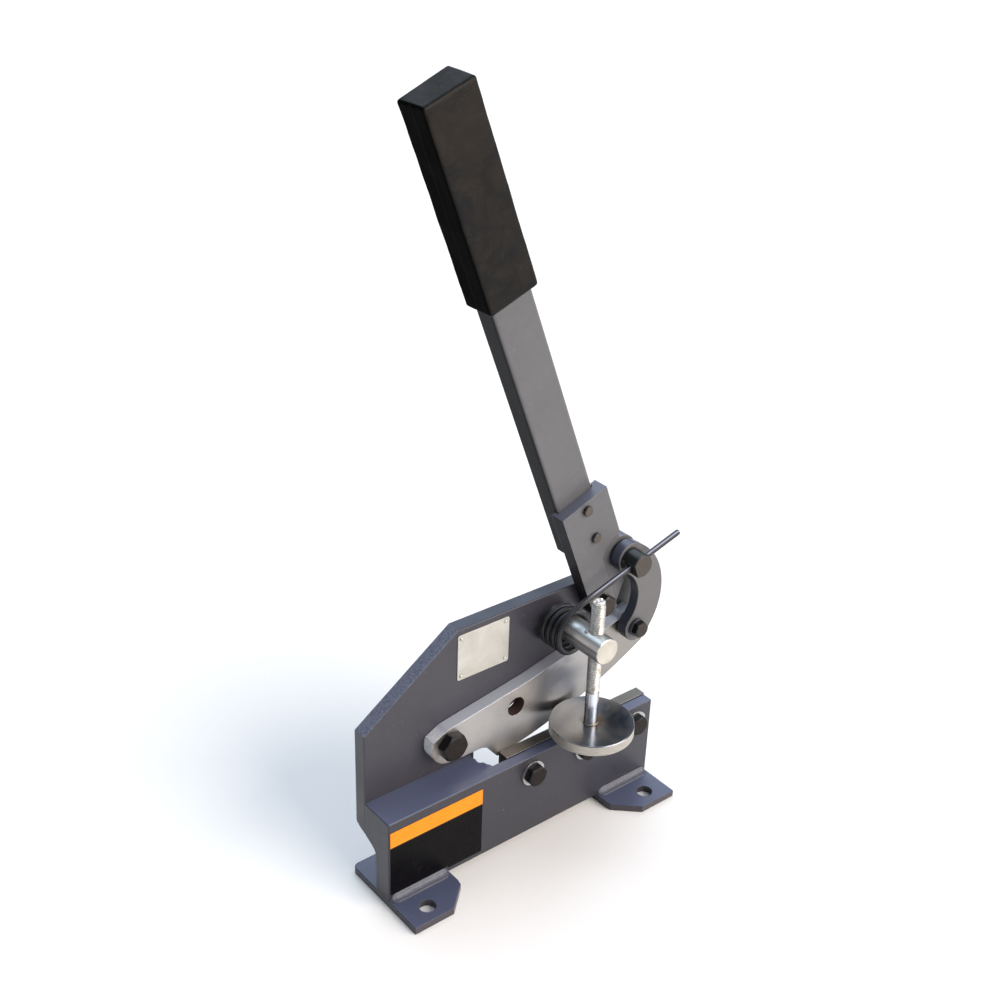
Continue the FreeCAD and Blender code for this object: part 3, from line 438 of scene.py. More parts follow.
def disc_finish():
    """Mirror-like top with brown and blue stains and a painted dark blue reflection on its right; pale matt rim; pale
    edges that are partly worn bright and partly painted highlight.
    """
    f = Finish("disc_steel")
    x, y, z = f.xyz(f.at)
    nx, ny, nz = f.xyz(f.geo.outputs["True Normal"])
    dx = f.calc("SUBTRACT", x, 0.050)
    dy = f.calc("SUBTRACT", y, -0.0245)
    away = f.calc("SQRT", f.calc("ADD", f.calc("MULTIPLY", dx, dx), f.calc("MULTIPLY", dy, dy)))
    turned = f.noise(1400.0, 2.0, 0.5)
    stains = f.noise(34.0, 4.0, 0.6, 0.5)
    blots = f.noise(40.0, 5.0, 0.65, 0.8)
    top = f.ramp(stains, [(0.30, (0.135, 0.155, 0.185)), (0.50, (0.212, 0.220, 0.228)), (0.66, (0.205, 0.195, 0.180)), (0.80, (0.12, 0.105, 0.090))])
    # painted reflection: the right side of the top is painted dark blue in blotches
    right_dark_reflection = f.span(x, 0.045, 0.070)
    top = f.mix(f.calc("MULTIPLY", right_dark_reflection, f.span(blots, 0.36, 0.60, 0.40, 0.95)), top, (0.034, 0.060, 0.105))
    rim = f.ramp(f.noise(140.0, 4.0, 0.6, 0.0, f.move(scale=(1.0, 1.0, 5.0))), [(0.3, (0.34, 0.32, 0.285)), (0.7, (0.45, 0.43, 0.39))])
    side = f.span(f.calc("ABSOLUTE", nz), 0.75, 0.45)
    colour = f.mix(side, top, rim)
    round_n, edge = f.round_edges(0.0004)
    # pale edges: partly worn bright, partly a painted highlight
    colour = f.mix(f.calc("MULTIPLY", edge, 0.85), colour, (0.95, 0.94, 0.92))
    near = f.span(away, 0.014, 0.007)
    colour = f.mix(f.calc("MULTIPLY", f.calc("MULTIPLY", near, f.span(blots, 0.35, 0.6)), f.calc("SUBTRACT", 1.0, side)), colour, (0.11, 0.085, 0.065))
    r = f.calc("MULTIPLY_ADD", side, 0.20, f.span(stains, 0.35, 0.75, 0.20, 0.27))
    height = f.calc("MULTIPLY_ADD", turned, 0.8, f.noise(700.0, 3.0, 0.6))
    return f.done(colour, r, f.bump(height, 0.0000015, 1.0, round_n), f.span(f.calc("ABSOLUTE", nz), 0.75, 0.45, 0.85, 0.6))


def screw_finish():
    """Rough flaky zinc with yellow-brown stain on the thread; smooth shank below, made bright by painted reflection
    bands.
    """
    f = Finish("screw_steel")
    x, y, z = f.xyz(f.at)
    flakes = f.noise(420.0, 5.0, 0.7, 0.8)
    stain = f.noise(110.0, 4.0, 0.7, 0.5)
    zinc = f.ramp(flakes, [(0.30, (0.34, 0.33, 0.32)), (0.50, (0.78, 0.78, 0.77)), (0.68, (0.97, 0.97, 0.96))])
    zinc = f.mix(f.span(stain, 0.49, 0.64, 0.0, 0.52), zinc, (0.38, 0.32, 0.21))
    nx, ny, nz = f.xyz(f.geo.outputs["True Normal"])
    # painted reflections: light and bluish bands laid round the smooth shank by the angle of its surface
    reflection_band_angle = f.calc("MULTIPLY_ADD", f.noise(30.0, 1.0, 0.4), 0.06, f.calc("ARCTAN2", ny, nx))
    reflection_band_angle = f.calc("DIVIDE", f.calc("MODULO", f.calc("ADD", reflection_band_angle, 5.36), 2.0 * math.pi), 2.0 * math.pi)
    plain = f.ramp(reflection_band_angle, [
        (0.25, (0.20, 0.20, 0.21)), (0.34, (0.26, 0.26, 0.27)), (0.37, (0.64, 0.64, 0.65)), (0.41, (0.58, 0.58, 0.60)),
        (0.44, (0.34, 0.35, 0.38)), (0.48, (0.60, 0.66, 0.78)), (0.53, (0.80, 0.86, 0.96)), (0.585, (0.84, 0.88, 0.95)),
        (0.63, (0.40, 0.41, 0.43)), (0.68, (0.24, 0.24, 0.25)), (0.80, (0.40, 0.40, 0.41)), (0.95, (0.50, 0.50, 0.51)),
    ])
    # thread roots are darkened to a dull brown between the pale crests
    dx = f.calc("SUBTRACT", x, 0.049)
    dy = f.calc("SUBTRACT", y, -0.024)
    away = f.calc("SQRT", f.calc("ADD", f.calc("MULTIPLY", dx, dx), f.calc("MULTIPLY", dy, dy)))
    zinc = f.mix(f.calc("MULTIPLY", f.calc("MULTIPLY", f.span(away, 0.0053, 0.0048), f.span(z, 0.2163, 0.2158)), 0.52), zinc, (0.16, 0.145, 0.12))
    shank = f.span(z, 0.137, 0.132)
    colour = f.mix(shank, zinc, plain)
    round_n, edge = f.round_edges(0.0003)
    # pale edges: partly worn bright, partly a painted highlight
    colour = f.mix(f.calc("MULTIPLY", edge, 0.35), colour, (0.90, 0.88, 0.84))
    r = f.calc("MULTIPLY_ADD", shank, -0.22, f.span(flakes, 0.3, 0.7, 0.48, 0.32))
    return f.done(colour, r, f.bump(flakes, 0.00005, 1.0, round_n), 0.8)


def spring_finish():
    f = Finish("spring_steel")
    skin = f.noise(120.0, 3.0, 0.5, 0.3)
    long = f.noise(40.0, 2.0, 0.5)
    colour = f.ramp(skin, [(0.30, (0.008, 0.008, 0.009)), (0.70, (0.018, 0.018, 0.021))])
    colour = f.mix(f.calc("MULTIPLY", f.span(long, 0.50, 0.70), 0.4), colour, (0.040, 0.030, 0.023))
    # painted light: the upper flanks of the wire are painted lighter and bluish, as if lit by the sky
    own = f.xyz(f.add("ShaderNodeTexCoord").outputs["Normal"])
    painted_upper_light = f.calc("MULTIPLY", f.span(own[2], 0.35, 0.75), f.span(own[2], 1.04, 0.92))
    outer = f.span(f.xyz(f.at)[0], 0.052, 0.066)
    colour = f.mix(f.calc("MULTIPLY", painted_upper_light, 0.22), colour, (0.10, 0.108, 0.135))
    # painted highlight: a pale blue line along the top of the wire on its outer part
    line = f.calc("MULTIPLY", f.span(own[2], 0.60, 0.72), f.span(own[2], 0.90, 0.82))
    colour = f.mix(f.calc("MULTIPLY", f.calc("MULTIPLY", line, outer), 0.75), colour, (0.46, 0.50, 0.64))
    r = f.span(skin, 0.3, 0.7, 0.34, 0.40)
    grime = f.noise(900.0, 2.0, 0.5)
    return f.done(colour, r, f.bump(grime, 0.000001), 0.0, Specular_IOR_Level=0.34)


def rubber_finish():
    """Dipped grip: near black, brown-blue mottling, pinholes and faint moulding streaks."""
    f = Finish("grip_rubber")
    mott = f.noise(34.0, 5.0, 0.62, 0.9)
    small = f.noise(160.0, 4.0, 0.65, 0.4)
    colour = f.ramp(mott, [(0.30, (0.0012, 0.0017, 0.0034)), (0.46, (0.0052, 0.0044, 0.0036)), (0.66, (0.0120, 0.0084, 0.0054))])
    colour = f.mix(f.span(small, 0.50, 0.72, 0.0, 0.4), colour, (0.0150, 0.0118, 0.0090))
    specks = f.calc("MULTIPLY", f.span(f.cells(520.0), 0.20, 0.10), f.span(f.noise(60.0, 1.0), 0.56, 0.62))
    colour = f.mix(f.calc("MULTIPLY", specks, 0.35), colour, (0.07, 0.065, 0.06))
    streak = f.noise(40.0, 3.0, 0.6, 0.0, f.move(scale=(6.0, 3.0, 0.35), rot=(0.0, -0.38, 0.0)))
    colour = f.mix(f.span(streak, 0.60, 0.75, 0.0, 0.3), colour, (0.014, 0.0135, 0.014))
    own = f.xyz(f.add("ShaderNodeTexCoord").outputs["Normal"])
    # painted shade: faces turned to the left are painted nearly black, and are also given more roughness and less gloss
    left_side = f.span(own[0], -0.45, -0.85)
    colour = f.mix(f.calc("MULTIPLY", left_side, 0.85), colour, (0.0016, 0.0016, 0.0018))
    end_face = f.span(own[2], 0.6, 0.9)
    colour = f.mix(f.calc("MULTIPLY", end_face, 0.5), colour, (0.0032, 0.0031, 0.0034))
    colour = f.mix(f.calc("MULTIPLY", end_face, f.span(streak, 0.52, 0.66, 0.0, 0.5)), colour, (0.022, 0.020, 0.018))
    # moulding seam down the left side
    x, y, z = f.xyz(f.at)
    seam = f.calc("MULTIPLY", f.span(f.calc("ABSOLUTE", f.calc("SUBTRACT", y, 0.0305)), 0.0007, 0.0003), left_side)
    colour = f.mix(f.calc("MULTIPLY", seam, 0.5), colour, (0.014, 0.0135, 0.013))
    # painted highlight: a bluish sheen along the rounded corner between the front and the end
    round_n, edge = f.round_edges(0.0016, 0.985, 0.86)
    colour = f.mix(f.calc("MULTIPLY", edge, f.span(own[2], 0.15, 0.6, 0.15, 0.85)), colour, (0.050, 0.060, 0.085))
    r = f.calc("MULTIPLY_ADD", left_side, 0.22, f.span(mott, 0.3, 0.7, 0.36, 0.52))
    height = f.calc("MULTIPLY_ADD", small, 0.6, f.calc("MULTIPLY_ADD", streak, 0.8, f.noise(1100.0, 2.0, 0.5)))
    return f.done(colour, r, f.bump(height, 0.00007), 0.0, Specular_IOR_Level=f.calc("MAXIMUM", f.calc("MULTIPLY_ADD", left_side, -0.13, f.calc("MULTIPLY_ADD", end_face, -0.07, 0.135)), 0.01))


def plate_finish():
    """Plain aluminium plate gone cream, fine brushed lines, dented and a little dirty at the rivets."""
    f = Finish("plate_aluminium")
    lines = f.noise(70.0, 4.0, 0.7, 0.0, f.move(scale=(0.8, 1.0, 30.0)))
    cloud = f.noise(48.0, 4.0, 0.6, 0.6)
    colour = f.ramp(cloud, [(0.28, (0.43, 0.41, 0.36)), (0.55, (0.50, 0.485, 0.445)), (0.78, (0.56, 0.55, 0.515))])
    colour = f.mix(f.span(lines, 0.35, 0.75, 0.0, 0.25), colour, (0.62, 0.615, 0.59))
    grime = f.span(f.noise(150.0, 4.0, 0.7), 0.62, 0.78, 0.0, 0.25)
    colour = f.mix(grime, colour, (0.36, 0.32, 0.25))
    round_n, edge = f.round_edges(0.0004)
    # pale edges: partly worn bright, partly a painted highlight
    colour = f.mix(f.calc("MULTIPLY", edge, 0.5), colour, (0.90, 0.89, 0.85))
    r = f.span(cloud, 0.3, 0.7, 0.30, 0.44)
    return f.done(colour, r, f.bump(lines, 0.00001, 1.0, round_n), 0.55)


def decal_finish():
    """Bare two-tone film: an orange band above a black field, thin pale cut edge."""
    f = Finish("decal_film")
    x, y, z = f.xyz(f.at)
    scuff = f.noise(90.0, 4.0, 0.65, 0.4)
    fine = f.noise(600.0, 2.0, 0.5)
    orange = f.ramp(scuff, [(0.3, (0.72, 0.214, 0.014)), (0.7, (0.77, 0.236, 0.018))])
    black = f.ramp(scuff, [(0.3, (0.0014, 0.0013, 0.0018)), (0.7, (0.0024, 0.0021, 0.0028))])
    colour = f.mix(f.span(z, 0.0578, 0.0582), black, orange)
    # fine pale hairline between the fields and dusty rubbed places
    line = f.calc("MULTIPLY", f.span(z, 0.0574, 0.0576), f.span(z, 0.0582, 0.0580))
    colour = f.mix(f.calc("MULTIPLY", line, 0.5), colour, (0.55, 0.25, 0.05))
    rubbed = f.span(f.noise(45.0, 5.0, 0.7, 0.8), 0.60, 0.78, 0.0, 0.22)
    colour = f.mix(f.calc("MULTIPLY", rubbed, 0.12), colour, (0.20, 0.18, 0.17))
    r = f.span(scuff, 0.3, 0.7, 0.24, 0.34)
    return f.done(colour, r, f.bump(fine, 0.00001), 0.0, Specular_IOR_Level=0.08)


def floor_finish():
    f = Finish("floor")
    cloud = f.noise(1.4, 3.0, 0.5)
    colour = f.ramp(cloud, [(0.3, (0.90, 0.885, 0.86)), (0.7, (0.92, 0.905, 0.88))])
    return f.done(colour, 0.65, f.bump(f.noise(300.0, 2.0, 0.5), 0.00005), 0.0, Specular_IOR_Level=0.25)


# ---- mesh helpers -----------------------------------------------------------
def build(name, verts, faces, mat, smooth=40.0):
    me = bpy.data.meshes.new(name)
    me.from_pydata([tuple(v) for v in verts], [], faces)
    me.validate()
    o = bpy.data.objects.new(name, me)
    scene.collection.objects.link(o)
    me.materials.append(mat)
    me.polygons.foreach_set("use_smooth", [True] * len(me.polygons))
    if smooth is not None:
        me.set_sharp_from_angle(angle=math.radians(smooth))
    return o


def lathe(rows, place, count=96, loop=False):
    """Closed skin of rows round an axis. A row is (radius, height), each a number or a function of
    the angle; place(radius, angle, height) gives the point. A radius of 0 at an end makes a pole."""
    verts, faces, rings = [], [], []
    for r, h in rows:
        if not callable(r) and r == 0.0:
            rings.append([len(verts)])
            verts.append(place(0.0, 0.0, h(0.0) if callable(h) else h))
            continue
        ring = []
        for i in range(count):
            a = 2.0 * math.pi * i / count
            ring.append(len(verts))
            verts.append(place(r(a) if callable(r) else r, a, h(a) if callable(h) else h))
        rings.append(ring)
    pairs = list(zip(rings, rings[1:])) + ([(rings[-1], rings[0])] if loop else [])
    for a, b in pairs:
        for i in range(count):
            j = (i + 1) % count
            if len(a) == 1:
                faces.append((a[0], b[i], b[j]))
            elif len(b) == 1:
                faces.append((a[i], b[0], a[j]))
            else:
                faces.append((a[i], b[i], b[j], a[j]))
    return verts, faces


def joined(*shells):
    verts, faces = [], []
    for v, f in shells:
        n = len(verts)
        verts += v
        faces += [tuple(i + n for i in face) for face in f]
    return verts, faces


def along_y(x, z, y0, sign):
    """Axis along Y: height 0 at y0, growing towards the front for sign -1 and the back for +1."""
    def place(r, a, h):
        return S(x + r * math.cos(a), y0 + sign * h, z + r * math.sin(a) * (-sign))
    return place


def hexagon(flats, turn, sign):
    """Radius of a hexagon with slightly rounded corners, as a function of the lathe angle."""
    corner = flats / math.sqrt(3.0)

    def radius(a):
        t = math.degrees(math.atan2(math.sin(a) * (-sign), math.cos(a)))
        u = math.radians((t - turn) % 60.0 - 30.0)
        r = flats / 2.0 / math.cos(u)
        lim = corner * 0.985
        return r if r < lim - 0.25 else lim - 0.25 * math.exp(-(r - lim + 0.25) / 0.25)
    return radius


def hex_rows(flats, height, turn, sign, dome, bore=0.0, worn=0.12):
    R = hexagon(flats, turn, sign)
    rc = flats / 2.0 * 0.95
    top = lambda a, k=0.0: height - 0.5774 * max(0.0, R(a) - rc) - k
    if bore:
        rows = [(bore, 0.3), (bore, height - 1.0), (bore + 0.9, height - 0.06), (bore + 1.3, height)]
    else:
        rows = [(0.0, height + dome), (rc * 0.35, height + dome * 0.92), (rc * 0.7, height + dome * 0.62), (rc * 0.93, height + dome * 0.15)]
    rows += [
        (rc * 0.975, height - 0.02), (rc, height - worn),
        (lambda a: (rc + R(a)) / 2.0, lambda a: (height - worn + top(a, worn)) / 2.0),
        (lambda a: R(a) - 0.12, lambda a: top(a, worn + 0.02)),
        (R, lambda a: top(a, worn + 0.22)),
        (R, 0.35), (lambda a: R(a) - 0.2, 0.05), (lambda a: R(a) - 0.5, 0.0),
    ]
    if bore:
        rows += [(bore + 0.5, 0.0), (bore, 0.3)][:1]
    else:
        rows += [(0.0, 0.0)]
    return rows


def groove(u):
    """Thread profile over one pitch: 1 at the crest, 0 at the root."""
    w = abs((u % 1.0) - 0.5) * 2.0
    return min(1.0, max(0.0, (1.0 - w) * 1.3 - 0.12))


def thread_rows(major, minor, pitch, h0, h1, per=6, rough=0.0, fade=True):
    rows = []
    n = int((h1 - h0) / pitch * per)
    for k in range(n + 1):
        h = h0 + (h1 - h0) * k / n

        def r(a, h=h):
            g = groove(h / pitch - a / (2.0 * math.pi))
            edge = min(1.0, (h - h0) / pitch, (h1 - h) / pitch) if fade else 1.0
            v = minor + (major - minor) * (g * edge + (1.0 - edge) * 0.0)
            if rough:
                v += rough * noise.noise(Vector((math.cos(a) * 2.2, math.sin(a) * 2.2, h * 0.9)))
            return v
        rows.append((r, h))
    return rows


def ride(obj, body, slot, *stands_for):
    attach(obj, body)
    if stands_for:
        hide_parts(*stands_for)
    return obj


# ---- finishes on the carried-over nodes ------------------------------------
arm_steel = arm_finish()
blade_steel = blade_finish()
black_front = black_finish("black_front", -1, face=(0.0115, 0.0070, 0.0050), body=(0.0110, 0.0108, 0.0122), gloss=0.22)
brown_front = black_finish("brown_front", -1, face=(0.030, 0.0205, 0.0145), gloss=0.42)
black_back = black_finish("black_back", 1)
zinc = zinc_finish("zinc_steel")
bar_steel = bar_finish()
disc_steel = disc_finish()
screw_steel = screw_finish()
spring_steel = spring_finish()
grip_rubber = rubber_finish()
plate_metal = plate_finish()
decal_film = decal_finish()
# the collar's pale bluish rim is partly worn paint, partly a painted highlight
collar_paint = black_finish("collar_blue", -1, face=(0.075, 0.082, 0.10), body=(0.040, 0.045, 0.058), edge=(0.18, 0.20, 0.25))
pin_black = black_finish("pin_black", -1, face=(0.058, 0.048, 0.038), body=(0.009, 0.011, 0.0105), edge=(0.22, 0.205, 0.19))
rivet_worn = black_finish("rivet_worn", -1, face=(0.085, 0.066, 0.052), body=(0.028, 0.028, 0.033), edge=(0.17, 0.155, 0.14))

LOOKS = {
    "upper_plate": frame_paint, "lower_jaw": jaw_paint, "left_foot": foot_paint, "right_foot": foot_paint,
    "lower_blade": blade_steel, "blade_washer_left": zinc, "blade_washer_middle": zinc, "blade_washer_right": zinc,
    "clamp_bar": bar_steel, "front_decal": decal_film, "blade_arm": arm_steel,
    "lever_casting": lever_paint, "handle_tube": lever_paint, "handle_rivet_upper": rivet_worn, "handle_rivet_lower": rivet_worn,
    "front_link": link_paint, "rear_link": link_paint, "link_collar": collar_paint, "link_pin": pin_black, "clamp_foot": disc_steel,
}
for node, look in LOOKS.items():
    slots = nodes[node].material_slots
    if not slots:
        nodes[node].data.materials.append(look)
    for s in nodes[node].material_slots:
        s.link = "OBJECT"
        s.material = look


# ---- bolts and nuts ---------------------------------------------------------
def bolt(name, body, x, z, flats, y_seat, head, turn, shank_r, y_end, thread, pitch, dome=0.3, look=None):
    """Forward-facing hexagon screw: crowned head, plain shank, thread with a chamfered end."""
    crown = lathe(hex_rows(flats, head, turn, -1, dome), along_y(x, z, y_seat, -1))
    length = y_end - y_seat
    rows = [(0.0, -0.3), (shank_r, -0.3), (shank_r, length - thread)] if thread else [(0.0, -0.3), (shank_r, -0.3)]
    if thread:
        rows += thread_rows(shank_r, shank_r - 0.6 * pitch, pitch, length - thread + 0.2, length - 0.9)
        rows += [(shank_r - 0.6 * pitch - 0.3, length), (0.0, length)]
    else:
        rows += [(shank_r, length - 0.6), (shank_r - 0.6, length), (0.0, length)]
    shank = lathe(rows, along_y(x, z, y_seat, 1), 48)
    v, f = joined(crown, shank)
    return ride(build(name + "_detail", v, f, look or black_front, 30.0), body, "black_steel", name)


def nut(name, body, x, z, flats, y_seat, height, turn, bore, extra=None):
    v, f = lathe(hex_rows(flats, height, turn, 1, 0.0, bore), along_y(x, z, y_seat, 1), 96, loop=True)
    if extra:
        v, f = joined((v, f), extra)
    return ride(build(name + "_detail", v, f, black_back, 30.0), body, "black_steel", name)


for x, side, turn_deg in ((139.0, "left", 8.0), (195.0, "middle", 22.0), (251.0, "right", 15.0)):
    bolt("blade_bolt_" + side, "frame", x, 65.0, 17.0, -2.0, 6.3, turn_deg, 4.95, 18.6, 9.0, 1.5, 0.1)
bolt("arm_pivot_bolt", "frame", 71.5, 111.5, 21.0, 19.8, 8.3, 50.0, 7.0, 57.3, 14.5, 2.0, 0.3)
bolt("lever_pivot_bolt", "frame", 220.0, 185.3, 17.0, 17.1, 6.9, 30.0, 6.0, 56.3, 13.0, 1.75, 0.1, brown_front)
nut("arm_pivot_nut", "frame", 71.5, 111.5, 21.0, 44.3, 11.0, 20.0, 7.02)
nut("lever_pivot_nut", "frame", 220.0, 185.3, 18.0, 44.3, 10.0, 10.0, 6.02)
nut("clamp_bar_nut", "frame", 183.0, 179.0, 24.0, 44.3, 8.0, 0.0, 8.02)
bolt("link_bolt", "links", 250.9, 156.9, 13.0, 5.5, 5.5, 9.5, 4.0, 17.6, 0.0, 1.25, 0.1, brown_front)
stub = lathe([(0.0, 31.4), (4.0, 31.4), (4.0, 42.8)] + thread_rows(4.0, 3.25, 1.25, 43.0, 50.4) + [(2.9, 51.1), (0.0, 51.1)], along_y(250.9, 156.9, 0.0, 1), 48)
nut("link_nut", "links", 250.9, 156.9, 13.0, 42.6, 6.5, 12.0, 4.02, stub)


# ---- hold-down screw --------------------------------------------------------
def screw_place(r, a, h):
    return S(184.0 + r * math.cos(a), -16.0 + r * math.sin(a), h)


def ragged(base, h):
    """Slotted and mushroomed end of the screw."""
    def z(a):
        across = abs(base * math.sin(a))
        deep = 2.2 if across < 0.95 else 0.0
        return h - deep + 0.35 * noise.noise(Vector((math.cos(a) * 3.0, math.sin(a) * 3.0, base)))
    return z


rows = [(0.0, 98.9), (5.45, 98.9), (5.5, 99.3), (5.5, 118.0), (5.5, 133.6), (5.35, 134.4)]
rows += thread_rows(5.5, 4.6, 1.5, 134.8, 215.6, 7, 0.10)
rows += [(4.75, 216.2), (4.9, ragged(4.9, 217.2)), (4.4, ragged(4.4, 217.9)), (3.0, ragged(3.0, 218.2)), (1.6, ragged(1.6, 218.0)), (0.0, 215.9)]
v, f = lathe(rows, screw_place, 64)
ride(build("clamp_screw_thread", v, f, screw_steel, 50.0), "clamp", "screw_steel", "clamp_screw")

# small dog-point screw that keeps the bar's thread from turning
d = Vector((-0.402, 0.0, 0.915))
t1, t2 = Vector((0.0, 1.0, 0.0)), Vector((0.915, 0.0, 0.402))
c0 = Vector((183.0, -10.7, 179.0))


def nub_place(r, a, h):
    p = c0 + d * (10.2 + h) + t1 * (r * math.cos(a)) + t2 * (r * math.sin(a))
    return S(*p)


v, f = lathe([(0.0, -0.6), (2.0, -0.6), (2.0, 0.9), (1.8, 1.45), (1.3, 1.85), (0.7, 2.05), (0.0, 2.1)], nub_place, 32)
ride(build("clamp_bar_set_screw", v, f, zinc, 50.0), "frame", "zinc_steel")


# ---- return spring ----------------------------------------------------------
def spring_path():
    """One wire from its tip, through the pin, round the bar and into the plate."""
    leg_deg = 21.0
    lx, lz = math.cos(math.radians(leg_deg)), math.sin(math.radians(leg_deg))
    ax, az_ = 238.3, 225.0
    bx, bz, coil, pitch = 181.2, 177.5, 16.8, 6.15
    bend = 26.0
    left = bx - coil
    nx, nz = -lz, lx
    zc = (nx * (ax - left - bend) + nz * az_ - bend) / nz
    cx = left + bend
    tx, tz = cx + bend * nx, zc + bend * nz
    flat = []
    tip = (ax + 44.5 * lx, az_ + 44.5 * lz)
    n = 110
    for i in range(n):
        u = i / n
        flat.append((tip[0] + (tx - tip[0]) * u, tip[1] + (tz - tip[1]) * u))
    a0, a1 = math.radians(leg_deg + 90.0), math.radians(180.0)
    n = 40
    for i in range(n):
        a = a0 + (a1 - a0) * i / n
        flat.append((cx + bend * math.cos(a), zc + bend * math.sin(a)))
    for i in range(6):
        flat.append((left, zc + (bz - zc) * i / 6.0))
    # the straight leg leans back towards the coil
    lean_z, lean_x = math.tan(math.radians(3.0)), math.tan(math.radians(1.2))
    pts = [(x, 0.6 - (x - ax) * lean_z + (az_ - z) * lean_x, z) for x, z in flat]
    end = 321.0 + 360.0 * 3.12
    n = 460
    y_join = pts[-1][1]
    for i in range(n + 1):
        deg = 180.0 + (end - 180.0) * i / n
        a = math.radians(deg)
        y = 6.0 + pitch * (deg - 180.0) / 360.0
        y += (y_join - 6.0) * max(0.0, 1.0 - (deg - 180.0) / 140.0)
        pts.append((bx + coil * math.cos(a), y, bz - 0.03 * max(0.0, y - 8.4) + coil * math.sin(a)))
    x, y, z = pts[-1]
    for k in range(1, 10):
        pts.append((x, y + k, z))
    return pts


def smoothed(pts, times):
    for _ in range(times):
        pts = [pts[0]] + [tuple((a + 2 * b + c) / 4.0 for a, b, c in zip(p, q, r)) for p, q, r in zip(pts, pts[1:], pts[2:])] + [pts[-1]]
    return pts


def wire(pts, r, sides=18):
    P = [S(*p) for p in pts]
    T = [(P[min(i + 1, len(P) - 1)] - P[max(i - 1, 0)]).normalized() for i in range(len(P))]
    side = T[0].orthogonal().normalized()
    verts, faces = [], []
    rr = r / 1000.0
    scale = [0.80, 0.96] + [1.0] * (len(P) - 4) + [0.96, 0.80]
    for i, (p, t) in enumerate(zip(P, T)):
        side = (side - t * side.dot(t)).normalized()
        other = t.cross(side)
        for k in range(sides):
            a = 2.0 * math.pi * k / sides
            verts.append(p + (side * math.cos(a) + other * math.sin(a)) * rr * scale[i])
    for i in range(len(P) - 1):
        for k in range(sides):
            j = (k + 1) % sides
            faces.append((i * sides + k, i * sides + j, (i + 1) * sides + j, (i + 1) * sides + k))
    faces.append(tuple(range(sides))[::-1])
    faces.append(tuple((len(P) - 1) * sides + k for k in range(sides)))
    return verts, faces


v, f = wire(smoothed(spring_path(), 6), 2.42)
spring = build("return_spring_wire", v, f, spring_steel, 60.0)
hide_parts("spring_coil", "spring_leg")
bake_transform(spring)


# ---- rubber grip ------------------------------------------------------------
def rounded_box(half, r, cells, corner=5):
    """Surface grid of a box with all its edges rounded, as vertices and faces."""
    axes = []
    for hgt, n in zip(half, cells):
        inner = hgt - r
        line = [-hgt + r * math.tan(math.pi / 4 * k / corner) for k in range(corner)]
        line += [-inner + 2 * inner * k / n for k in range(n + 1)]
        line += [-q for q in [-hgt + r * math.tan(math.pi / 4 * k / corner) for k in range(corner)][::-1]]
        axes.append(line)
    index, verts, faces = {}, [], []

    def vert(p):
        key = tuple(round(c, 5) for c in p)
        if key not in index:
            core = [max(-(hh - r), min(hh - r, c)) for c, hh in zip(p, half)]
            off = Vector([a - b for a, b in zip(p, core)])
            off = off.normalized() * r if off.length > 1e-9 else off
            index[key] = len(verts)
            verts.append(Vector(core) + off)
        return index[key]

    for k in range(3):
        i, j = (k + 1) % 3, (k + 2) % 3
        for s in (-1, 1):
            for a0, a1 in zip(axes[i], axes[i][1:]):
                for b0, b1 in zip(axes[j], axes[j][1:]):
                    quad = []
                    for a, b in ((a0, b0), (a1, b0), (a1, b1), (a0, b1)):
                        p = [0.0, 0.0, 0.0]
                        p[i], p[j], p[k] = a, b, s * half[k]
                        quad.append(vert(p))
                    faces.append(tuple(quad if s > 0 else quad[::-1]))
    return verts, faces


p0, p1, s0, s1, y0, y1 = 262.9, 307.0, 378.5, 535.0, 24.2, 53.2
half = ((p1 - p0) / 2.0, (y1 - y0) / 2.0, (s1 - s0) / 2.0)
gv, gf = rounded_box(half, 2.4, (16, 10, 60))
grip = []
for q in gv:
    # moulded walls are a touch hollow along their length and uneven
    k = 1.0 - abs(q.z) / half[2]
    px, py = q.x * (1.0 - 0.006 * math.sin(math.pi * k)), q.y * (1.0 - 0.008 * math.sin(math.pi * k))
    w = Vector((q.x * 0.05, q.y * 0.06, q.z * 0.035))
    bumpy = 0.22 * noise.noise(w * 1.6) + 0.08 * noise.noise(w * 6.0)
    nrm = Vector((q.x / half[0], q.y / half[1], 0.0))
    px += bumpy * (q.x / half[0])
    py += bumpy * (q.y / half[1])
    rise = 1.8 * (0.5 + 0.5 * q.x / half[0]) * (0.5 + 0.5 * q.y / half[1]) if q.z > half[2] - 2.5 else 0.0
    grip.append(H((p0 + p1) / 2.0 + px, (s0 + s1) / 2.0 + rise + q.z - (0.3 if q.z < -half[2] + 2 else 0.0) * abs(noise.noise(w * 9.0)), (y0 + y1) / 2.0 + py))
ride(build("grip_sleeve", grip, gf, grip_rubber, 60.0), "lever", "grip_rubber", "rubber_grip")


